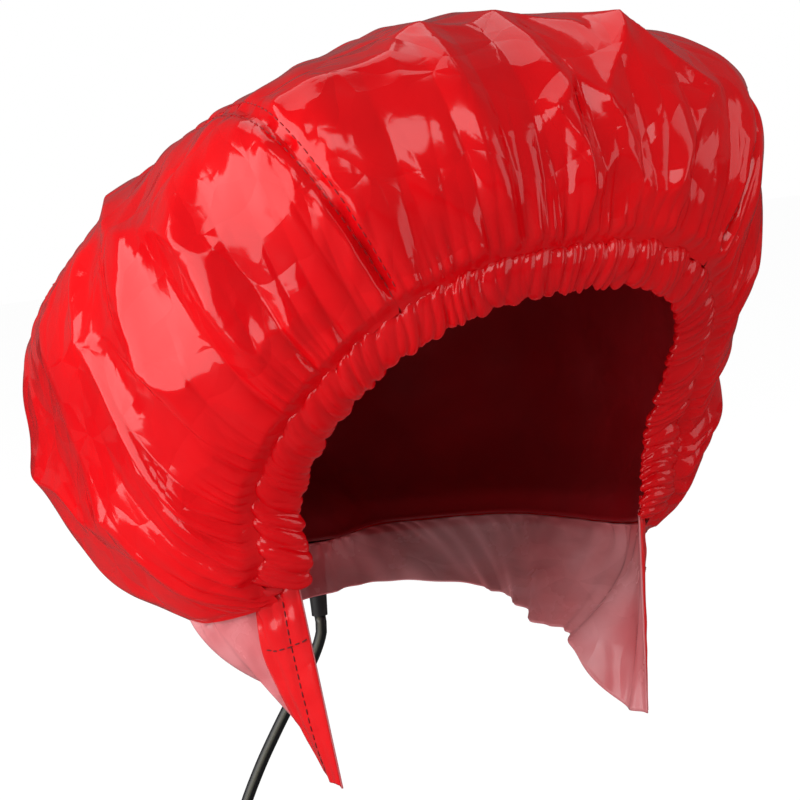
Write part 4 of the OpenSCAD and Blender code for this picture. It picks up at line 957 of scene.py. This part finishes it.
# %% [markdown]
# ## Hems of the flap
# The flap's front edges are doubled into hems, wider at the bottom, where the ends of the elastic are caught.
# A lengthwise seam makes a furrow down the middle of each. A hem is drawn on the flap's own grid and raised
# from it, so it bends with the flap's folds.

# %% Hems of the flap
HEM_WIDE, HEM_ROWS, HEM_COLS, HEM_FOOT = 0.052, 141, 33, 0.34
hems, hem_pieces = [], []
for side, word in ((1, "left"), (-1, "right")):
    down = np.linspace(-0.07, 0.985, HEM_ROWS)[:, None]
    wide = HEM_WIDE * (1 + 0.55 * np.clip(down, 0, 1))
    s = FLAP_START + 0.0005 + wide * np.linspace(0, 1, HEM_COLS)[None, :]
    if side < 0:
        s = 2 - s[:, ::-1]
    grid = flap_grid(s, down)
    face = flap_faces(grid)
    across_hem = np.linspace(-1, 1, HEM_COLS)[None, :]
    ripple = 0.35 * np.sin(down * 31 + 2 * np.sin(down * 9) + 1.2 * across_hem) * (1 - down)
    crown = (1 - across_hem ** 4) * (1 - 0.55 * bell(across_hem - 0.1, 0.12))
    height = 0.55 + (1.2 + ripple) * crown + 1.6 * smooth(-down / 0.07)
    hem = thick("folded_hem_" + word, grid + face * height[..., None], grid + face * HEM_FOOT,
                pairs((s - 1) * 400, down * 80))
    hems.append((grid, face, height))
    hem_pieces.append(settle(hem, "red_film", "flap_hem_" + word))
print("hems", [hem.name for hem in hem_pieces])

# %% [markdown]
# ## Stitching
# Thread shows as short dashes that dip into the film between them. Each row is made from one small closed
# dash, repeated along a line that lies on the film. A bump could only paint the rows on, and the dashes are
# seen from close by at the hems. As there are hundreds of them, a dash has only 22 faces.

# %% Stitching
def stitch_row(line, out, length=2.3, pitch=3.3, radius=0.26):
    """Points and faces of a row of dashes: ellipsoids of four rings, laid along the line, half sunk in it."""
    far = distances(line)
    at = np.arange(pitch / 2, far[-1], pitch)
    mid = np.stack([np.interp(at, far, line[:, i]) for i in range(3)], -1)
    ahead = unit(np.stack([np.interp(at + 0.4, far, line[:, i]) - np.interp(at - 0.4, far, line[:, i])
                           for i in range(3)], -1))
    lift = unit(np.stack([np.interp(at, far, out[:, i]) for i in range(3)], -1))
    side = np.cross(ahead, lift)
    a = np.arange(6) * np.pi / 3
    step = np.array([-1, -0.55, 0.55, 1])
    wide = np.array([0.35, 0.95, 0.95, 0.35])
    ring = (mid[:, None, None] + ahead[:, None, None] * (step * length / 2)[None, :, None, None]
            + (lift[:, None, None] * np.sin(a)[None, None, :, None]
               + side[:, None, None] * np.cos(a)[None, None, :, None]) * (radius * wide)[None, :, None, None]
            + lift[:, None, None] * 0.1)
    quads = grid_quads(4, 6, wrap=True)
    caps = np.array([[5, 4, 3, 2], [5, 2, 1, 0], [18, 19, 20, 21], [18, 21, 22, 23]])
    one = np.concatenate([quads, caps])
    faces = (one[None] + (np.arange(len(at)) * 24)[:, None, None]).reshape(-1, 4)
    return ring.reshape(-1, 3), faces


def stitches(name, rows, *stands_for):
    """One piece from several rows of dashes."""
    points, faces, start = [], [], 0
    for line, out in rows:
        some, quads = stitch_row(line, out)
        points.append(some)
        faces.append(quads + start)
        start += len(some)
    print(name, start // 24, "dashes")
    return settle(build(name, np.concatenate(points), [np.concatenate(faces)]), "dark_thread", *stands_for)


def grid_out(grid):
    """Unit normals of a film grid that point away from the middle of the bag."""
    n = grid_normals(grid)
    return n * np.sign((n * (grid - MIDDLE)).sum(-1, keepdims=True))


seam_rows = []
for grid, columns in ((film_fine[0], (3, -4)), (film_fine[1], (3,)), (film_fine[2], (3,))):
    normals = grid_out(grid)
    for c in columns:
        seam_rows.append((grid[6:-6, c], normals[6:-6, c]))
seam_thread = stitches("seam_stitches", seam_rows)
hem_rows, tack_rows = [], []
for grid, face, height in hems:
    on = grid + face * height[..., None]
    middle_col, cross_row = HEM_COLS // 2 + 2, int(0.33 * HEM_ROWS)
    hem_rows.append((on[16:-6, middle_col], face[16:-6, middle_col]))
    bridge = np.maximum(height[cross_row], height[cross_row].max() - 0.25)
    tack_rows.append(((grid + face * bridge[None, :, None])[cross_row, 2:-2], face[cross_row, 2:-2]))
hem_thread = stitches("hem_stitches", hem_rows)
tack_thread = stitches("tack_thread", tack_rows, "tack_stitches")

# %% [markdown]
# ## Cloth and padding

# %% Cloth and padding
print("no flat sizes given here")

# %% [markdown]
# ## Materials
# Each material has one Principled shader, and everything on it is worked out from noise and waves, so no
# picture is needed. These helpers make a node with its links in one line.

# %% Material helpers
def material(name, color, rough=0.5, metal=0.0, **sockets):
    """A material with one Principled shader; further sockets are given by name with _ for spaces."""
    mat = bpy.data.materials.new(name)
    mat.use_nodes = True
    shader = mat.node_tree.nodes["Principled BSDF"]
    shader.inputs["Base Color"].default_value = (*color, 1)
    shader.inputs["Roughness"].default_value = rough
    shader.inputs["Metallic"].default_value = metal
    for key, value in sockets.items():
        shader.inputs[key.replace("_", " ")].default_value = value
    return mat


def add(tree, kind, inputs=None, **settings):
    """A node of a kind in a material's or a group's tree, with its settings, linked or set inputs."""
    node = tree.nodes.new(kind)
    for key, value in settings.items():
        setattr(node, key, value)
    for key, value in (inputs or {}).items():
        if isinstance(value, bpy.types.NodeSocket):
            tree.links.new(value, node.inputs[key])
        else:
            node.inputs[key].default_value = value
    return node


def plug(mat, value, socket):
    """Feeds a value to a socket of the material's shader."""
    mat.node_tree.links.new(value, mat.node_tree.nodes["Principled BSDF"].inputs[socket])


def noise(tree, at, scale, detail=2.0, rough=0.5, distortion=0.0, output="Fac"):
    """Soft noise with so many lumps to a metre, in octaves that each count for a share of the one before."""
    return add(tree, "ShaderNodeTexNoise", {"Vector": at, "Scale": scale, "Detail": detail, "Roughness": rough,
                                            "Distortion": distortion}).outputs[output]


def times(tree, value, factor):
    """Value times factor."""
    return add(tree, "ShaderNodeMath", {0: value, 1: factor}, operation="MULTIPLY").outputs["Value"]


def bump(tree, height, strength, distance, normal=None):
    """A normal tilted by a height, whose 0 to 1 stands for a distance in metres."""
    inputs = {"Height": height, "Strength": strength, "Distance": distance}
    if normal is not None:
        inputs["Normal"] = normal
    return add(tree, "ShaderNodeBump", inputs).outputs["Normal"]


def ramp(mat, value, dark, light, low=0.3, high=0.7):
    """A colour that goes from dark to light as a value goes from low to high."""
    node = add(mat.node_tree, "ShaderNodeValToRGB", {"Fac": value})
    for cell, place, color in zip(node.color_ramp.elements, (low, high), (dark, light)):
        cell.position = place
        cell.color = (*color, 1)
    plug(mat, node.outputs["Color"], "Base Color")


print("material helpers ready")

# %% [markdown]
# ## Node groups
# What several materials share, such as the creases of film, the grain of moulded plastic and the weave of
# tape, is a node group that is built once. Each material places the group with its own values, and keeps its
# colours in a ramp of its own. The group gives a tone between 0 and 1 for the ramp, and the bumped normal.

# %% Node groups
def new_group(name, numbers, outputs):
    """An empty group with a Place input for coordinates and an input for each number. Gives its tree, the
    sockets that its inside reads, and the ones that its inside feeds."""
    tree = bpy.data.node_groups.new(name, "ShaderNodeTree")
    tree.interface.new_socket("Place", in_out="INPUT", socket_type="NodeSocketVector")
    for key in numbers:
        tree.interface.new_socket(key, in_out="INPUT", socket_type="NodeSocketFloat")
    for key in outputs:
        kind = "NodeSocketVector" if key == "Normal" else "NodeSocketFloat"
        tree.interface.new_socket(key, in_out="OUTPUT", socket_type=kind)
    return tree, tree.nodes.new("NodeGroupInput").outputs, tree.nodes.new("NodeGroupOutput").inputs


def place_group(mat, group, **numbers):
    """Places a group in a material, on Object coordinates. Its Normal and Roughness go to the shader."""
    at = add(mat.node_tree, "ShaderNodeTexCoord").outputs["Object"]
    node = add(mat.node_tree, "ShaderNodeGroup", node_tree=group)
    mat.node_tree.links.new(at, node.inputs["Place"])
    for key, value in numbers.items():
        node.inputs[key.replace("_", " ")].default_value = value
    for key in ("Normal", "Roughness"):
        if key in node.outputs:
            plug(mat, node.outputs[key], key)
    return node.outputs["Tone"]


# %% [markdown]
# ## Film
# The film is a smooth red vinyl. What makes it look like film rather than paint is its sharp reflections,
# broken up by creases finer than the mesh. Thin film folds into small flat facets with sharp borders, which
# is what a Voronoi texture's distance to its borders gives, so that and two noises make the bump.

# %% Film materials
def facets(tree, at, scale):
    """Flat facets between sharp creases: the distance to the nearest border of cells shifted at random."""
    shift = add(tree, "ShaderNodeVectorMath", {0: noise(tree, at, 24, output="Color"), "Scale": 0.02},
                operation="SCALE").outputs["Vector"]
    moved = add(tree, "ShaderNodeVectorMath", {0: at, 1: shift}).outputs["Vector"]
    return add(tree, "ShaderNodeTexVoronoi", {"Vector": moved, "Scale": scale},
               feature="DISTANCE_TO_EDGE").outputs["Distance"]


creases, reads, feeds = new_group("film creases", ["Crease", "Facet", "Dullness"],
                                  ["Tone", "Roughness", "Normal"])
at = reads["Place"]
normal = bump(creases, facets(creases, at, 38), reads["Facet"], 0.0045)
normal = bump(creases, facets(creases, at, 95), times(creases, reads["Facet"], 0.36), 0.0012, normal)
broad, fine = (times(creases, reads["Crease"], share) for share in (0.30, 0.06))
normal = bump(creases, noise(creases, at, 42, 2, 0.5, 0.8), broad, 0.004, normal)
normal = bump(creases, noise(creases, at, 240), fine, 0.0006, normal)
worn = add(creases, "ShaderNodeMapRange", {
    "Value": noise(creases, at, 38, 4, 0.6), "From Min": 0.3, "From Max": 0.75,
    "To Min": times(creases, reads["Dullness"], 0.7), "To Max": times(creases, reads["Dullness"], 1.6)})
creases.links.new(noise(creases, at, 14, 3, 0.55), feeds["Tone"])
creases.links.new(worn.outputs["Result"], feeds["Roughness"])
creases.links.new(normal, feeds["Normal"])


def film_look(name, deep, bright, rough, crease, facet=0.0, **sockets):
    """Film with a cloudy red, creases of two sizes, facets, and patches that are worn duller."""
    mat = material(name, bright, rough, **sockets)
    ramp(mat, place_group(mat, creases, Crease=crease, Facet=facet, Dullness=rough), deep, bright, 0.3, 0.62)
    return mat


red_film = film_look("red_film", (0.62, 0.0015, 0.005), (0.80, 0.003, 0.006), 0.11, 0.16,
                     facet=0.52, Specular_IOR_Level=0.45)
casing_film = film_look("casing_film", (0.58, 0.0015, 0.005), (0.76, 0.003, 0.006), 0.11, 0.3, facet=0.25)
hem_film = film_look("hem_film", (0.66, 0.004, 0.008), (0.84, 0.010, 0.012), 0.16, 0.4, facet=0.3)
flap_film = film_look("flap_film", (0.66, 0.045, 0.055), (0.84, 0.34, 0.36), 0.22, 0.9, facet=0.4, Alpha=0.88)
# painted shade: the quilted lining is red vinyl, but its red is darkened to about half the shell's, which
# stands for the shade inside the cap
lining_film = film_look("lining_film", (0.26, 0.004, 0.008), (0.38, 0.007, 0.012), 0.38, 0.8)
tape_film = film_look("tape_film", (0.60, 0.006, 0.01), (0.80, 0.012, 0.016), 0.16, 0.5)
print("film group nodes:", len(creases.nodes))

# %% [markdown]
# ## Cord, case, metal and cloth
# The cord's sheath is black, with a pale stripe along one side that is a painted highlight. Moulded
# plastics and drawn metals have a fine grain. Tapes and cloths are woven.

# %% Other materials
grain, reads, feeds = new_group("fine grain", ["Scale", "Strength"], ["Tone", "Normal"])
at = reads["Place"]
rough_up = bump(grain, noise(grain, at, reads["Scale"], 3, 0.6), reads["Strength"], 0.0004)
grain.links.new(rough_up, feeds["Normal"])
grain.links.new(noise(grain, at, 60), feeds["Tone"])

weave, reads, feeds = new_group("plain weave", ["Threads"], ["Tone", "Normal"])
at = reads["Place"]
warp, weft = (add(weave, "ShaderNodeTexWave", {"Vector": at, "Scale": reads["Threads"], "Distortion": 1.0},
                  bands_direction=way).outputs["Fac"] for way in "XZ")
over = add(weave, "ShaderNodeMath", {0: warp, 1: weft}, operation="MAXIMUM").outputs["Value"]
weave.links.new(bump(weave, over, 0.3, 0.0004), feeds["Normal"])
weave.links.new(noise(weave, at, 90), feeds["Tone"])


def grained(name, color, rough, scale=900, strength=0.12, metal=0.0):
    """A plastic or metal with fine grain, 12% darker and 8% lighter in slow patches."""
    mat = material(name, color, rough, metal)
    tone = place_group(mat, grain, Scale=scale, Strength=strength)
    ramp(mat, tone, tuple(c * 0.88 for c in color), tuple(min(1, c * 1.08) for c in color))
    return mat


def woven(name, color, rough=0.85, scale=1400):
    """A cloth with crossed threads and a little sheen, 15% darker in slow patches."""
    mat = material(name, color, rough, Sheen_Weight=0.2)
    ramp(mat, place_group(mat, weave, Threads=scale / 3), tuple(c * 0.85 for c in color), color)
    return mat


def painted_highlight_cord():
    """Black sheath with a painted highlight: its UV map's V, which goes once round it, has a pale stripe at
    0.36 to 0.40.
    """
    black = (0.012, 0.012, 0.013)
    mat = material("black_cord", black, 0.34)
    tree = mat.node_tree
    coords = add(tree, "ShaderNodeTexCoord").outputs
    round_it = add(tree, "ShaderNodeSeparateXYZ", {"Vector": coords["UV"]}).outputs["Y"]
    # painted highlight: rise times fall is 1 on a band of V, where the ramp below paints the sheath pale grey,
    # as a lamp's reflection along the round cord
    rise, fall = (add(tree, "ShaderNodeMapRange", {"Value": round_it, "From Min": a, "From Max": b, "To Min": c,
                                                   "To Max": 1 - c}).outputs["Result"]
                  for a, b, c in ((0.30, 0.36, 0.0), (0.40, 0.46, 1.0)))
    ramp(mat, times(tree, rise, fall), black, (0.10, 0.10, 0.075), 0.0, 1.0)
    plug(mat, bump(tree, noise(tree, coords["Object"], 700), 0.06, 0.0003), "Normal")
    return mat


cord_sheath = painted_highlight_cord()
rubber = grained("black_rubber", (0.018, 0.018, 0.019), 0.42)
black_case = grained("black_case", (0.022, 0.022, 0.024), 0.4, 1300, 0.2)
light_plastic = grained("light_plastic", (0.55, 0.52, 0.46), 0.42)
phenolic = grained("phenolic", (0.035, 0.02, 0.014), 0.35)
board = grained("board", (0.24, 0.13, 0.05), 0.55, 500)
silicone = grained("silicone_wire", (0.66, 0.62, 0.52), 0.5)
steel = grained("steel", (0.56, 0.56, 0.58), 0.28, 600, 0.08, 1.0)
brass = grained("contact_brass", (0.68, 0.47, 0.17), 0.24, 600, 0.08, 1.0)
wire = grained("heater_wire", (0.50, 0.50, 0.52), 0.35, 900, 0.1, 1.0)
amber = material("amber_lens", (1.0, 0.32, 0.03), 0.12, Transmission_Weight=0.6, IOR=1.49)
neon = material("neon", (1.0, 0.45, 0.15), 0.08, Transmission_Weight=0.7, IOR=1.5)
red_tape = woven("red_tape", (0.45, 0.015, 0.02))
wadding = woven("wadding", (0.78, 0.75, 0.68), 0.95, 500)
heater_fabric = woven("heater_fabric", (0.50, 0.47, 0.38), 0.8)
webbing = woven("elastic_webbing", (0.78, 0.75, 0.68), 0.8)
dark_thread = grained("dark_thread", (0.12, 0.003, 0.005), 0.6, 2500, 0.3)
red_thread = grained("red_thread", (0.42, 0.004, 0.008), 0.5, 2500, 0.3)
print("materials", len(bpy.data.materials), "groups", [g.name for g in (creases, grain, weave)])

# %% [markdown]
# ## Dressing the pieces
# Each finish is given the names of its pieces. The list is then checked: a node that is seen and has no
# finish would be named as bare.

# %% Dressing the pieces
LOOKS = {
    red_tape: ["woven_seam_tape_left", "woven_seam_tape_right"],
    wadding: ["wadding_layer"], heater_fabric: ["heater_cloth_layer"], lining_film: ["quilted_lining"],
    wire: ["heating_wire"], webbing: ["front_elastic"],
    red_film: ["film_centre_panel", "film_side_panel_left", "film_side_panel_right"],
    casing_film: ["gathered_casing"], tape_film: ["bound_edge_left", "bound_edge_right"],
    flap_film: ["hanging_flap"], hem_film: ["folded_hem_left", "folded_hem_right"],
    dark_thread: ["tack_thread", "hem_stitches"], red_thread: ["seam_stitches"],
    phenolic: ["operating_thermostat_base", "safety_thermostat_base"],
    steel: ["operating_thermostat_can", "safety_thermostat_can", "thermal_fuse", "detent_spring",
            "control_screws"],
    brass: ["operating_bimetal_strip", "safety_bimetal_strip", "crimp_sleeves", "slider_contact",
            "fixed_contacts", "plug_blades"],
    silicone: ["fuse_sleeve", "lead_wires"],
    rubber: ["cord_grommet", "cord_inner_end", "cord_strain_relief", "control_grip_in", "control_grip_out",
             "plug_strain_relief"],
    black_case: ["cord_clamp", "coil_tie_cap", "coil_tie_plug", "control_case_bottom", "control_case_top",
                 "half_heat_diode", "plug_body"],
    cord_sheath: ["cap_cord", "plug_cord"],
    light_plastic: ["heat_slider"], board: ["contact_board"], neon: ["indicator_lamp"], amber: ["lamp_lens"],
}
dressed = set()
for look, names in LOOKS.items():
    for name in names:
        piece = bpy.data.objects[name]
        piece.data.materials.clear()
        piece.data.materials.append(look)
        dressed.add(name)
bare = [n for n, o in nodes.items() if not o.hide_render and n not in dressed]
print("pieces dressed:", len(dressed), "bare nodes:", bare)

# %% [markdown]
# ## Floor, backdrop and light
# The floor and the world are white to the camera. Mirror-like rays see them too, but dimmer, because a fully
# white room would lay a pink veil over the red vinyl. The light that falls on the cap comes from a soft world
# and four large softboxes. The floor glows by itself to the camera, and a fifth of it takes the shadow.

# %% Floor and world
FLOOR_HALF, FLOOR_DROP = 3000, 0.25
WHITE, SHADE_SHARE = 1.17, 0.2
FLOOR_TONE, FLOOR_MIRRORED = 0.8, 0.12
WORLD_LIGHT, WORLD_MIRRORED = 0.28, 0.42


def between(tree, switch, off, on):
    """A number that is off where a switch is 0 and on where it is 1."""
    return add(tree, "ShaderNodeMapRange", {"Value": switch, "To Min": off, "To Max": on}).outputs["Result"]


floor_corners = [[x * FLOOR_HALF, y * FLOOR_HALF, TABLE_Z - FLOOR_DROP]
                 for x, y in ((-1, -1), (1, -1), (1, 1), (-1, 1))]
floor = build("floor", floor_corners, [[[0, 1, 2, 3]]], smooth=False)
floor_look = bpy.data.materials.new("pale_floor")
floor_look.use_nodes = True
tree = floor_look.node_tree
tree.nodes.clear()
rays = add(tree, "ShaderNodeLightPath").outputs
tone = between(tree, rays["Is Glossy Ray"], FLOOR_TONE, FLOOR_MIRRORED)
plain = add(tree, "ShaderNodeBsdfDiffuse", {"Color": tone})
glow = add(tree, "ShaderNodeEmission", {"Color": (1, 1, 1, 1), "Strength": WHITE})
mix = add(tree, "ShaderNodeMixShader", {0: times(tree, rays["Is Camera Ray"], 1 - SHADE_SHARE),
                                        1: plain.outputs[0], 2: glow.outputs[0]})
add(tree, "ShaderNodeOutputMaterial", {"Surface": mix.outputs[0]})
floor.data.materials.append(floor_look)

world = bpy.data.worlds.new("white room")
scene.world = world
world.use_nodes = True
tree = world.node_tree
rays = add(tree, "ShaderNodeLightPath").outputs
seen = add(tree, "ShaderNodeMath", {0: rays["Is Camera Ray"], 1: rays["Is Transmission Ray"]},
           operation="MAXIMUM").outputs["Value"]
level = times(tree, between(tree, seen, WORLD_LIGHT, 1.0),
              between(tree, rays["Is Glossy Ray"], 1.0, WORLD_MIRRORED))
back = tree.nodes["Background"]
back.inputs["Color"].default_value = (1, 1, 1, 1)
tree.links.new(level, back.inputs["Strength"])
print("floor and world ready")

# %% [markdown]
# ## Softboxes
# Glossy film shows its shape by the outlines of what it mirrors, so the lamps are large rectangles, as in a
# studio. The left one is the largest, and gives the near side its broad sheen.

# %% Softboxes
LAMPS_AIM = Vector((0, 0.02, -0.03))


def softbox(name, at, size, power):
    """A rectangular area lamp that faces the cap; power is in watts and distances are in metres."""
    lamp = bpy.data.lights.new(name, "AREA")
    lamp.shape = "RECTANGLE"
    lamp.size, lamp.size_y, lamp.energy = size[0], size[1], power
    holder = bpy.data.objects.new(name, lamp)
    scene.collection.objects.link(holder)
    holder.location = at
    holder.rotation_euler = (LAMPS_AIM - Vector(at)).to_track_quat("-Z", "Y").to_euler()


softbox("left softbox", (-0.97, 0.05, 0.06), (1.35, 1.05), 11.8)
softbox("front softbox", (-0.45, -0.95, 0.75), (0.8, 0.6), 4.5)
softbox("right softbox", (0.78, -0.72, 0.16), (0.6, 0.8), 1.7)
softbox("top softbox", (0.0, 0.35, 1.1), (1.2, 0.9), 4.2)
scene.view_settings.view_transform = "Standard"
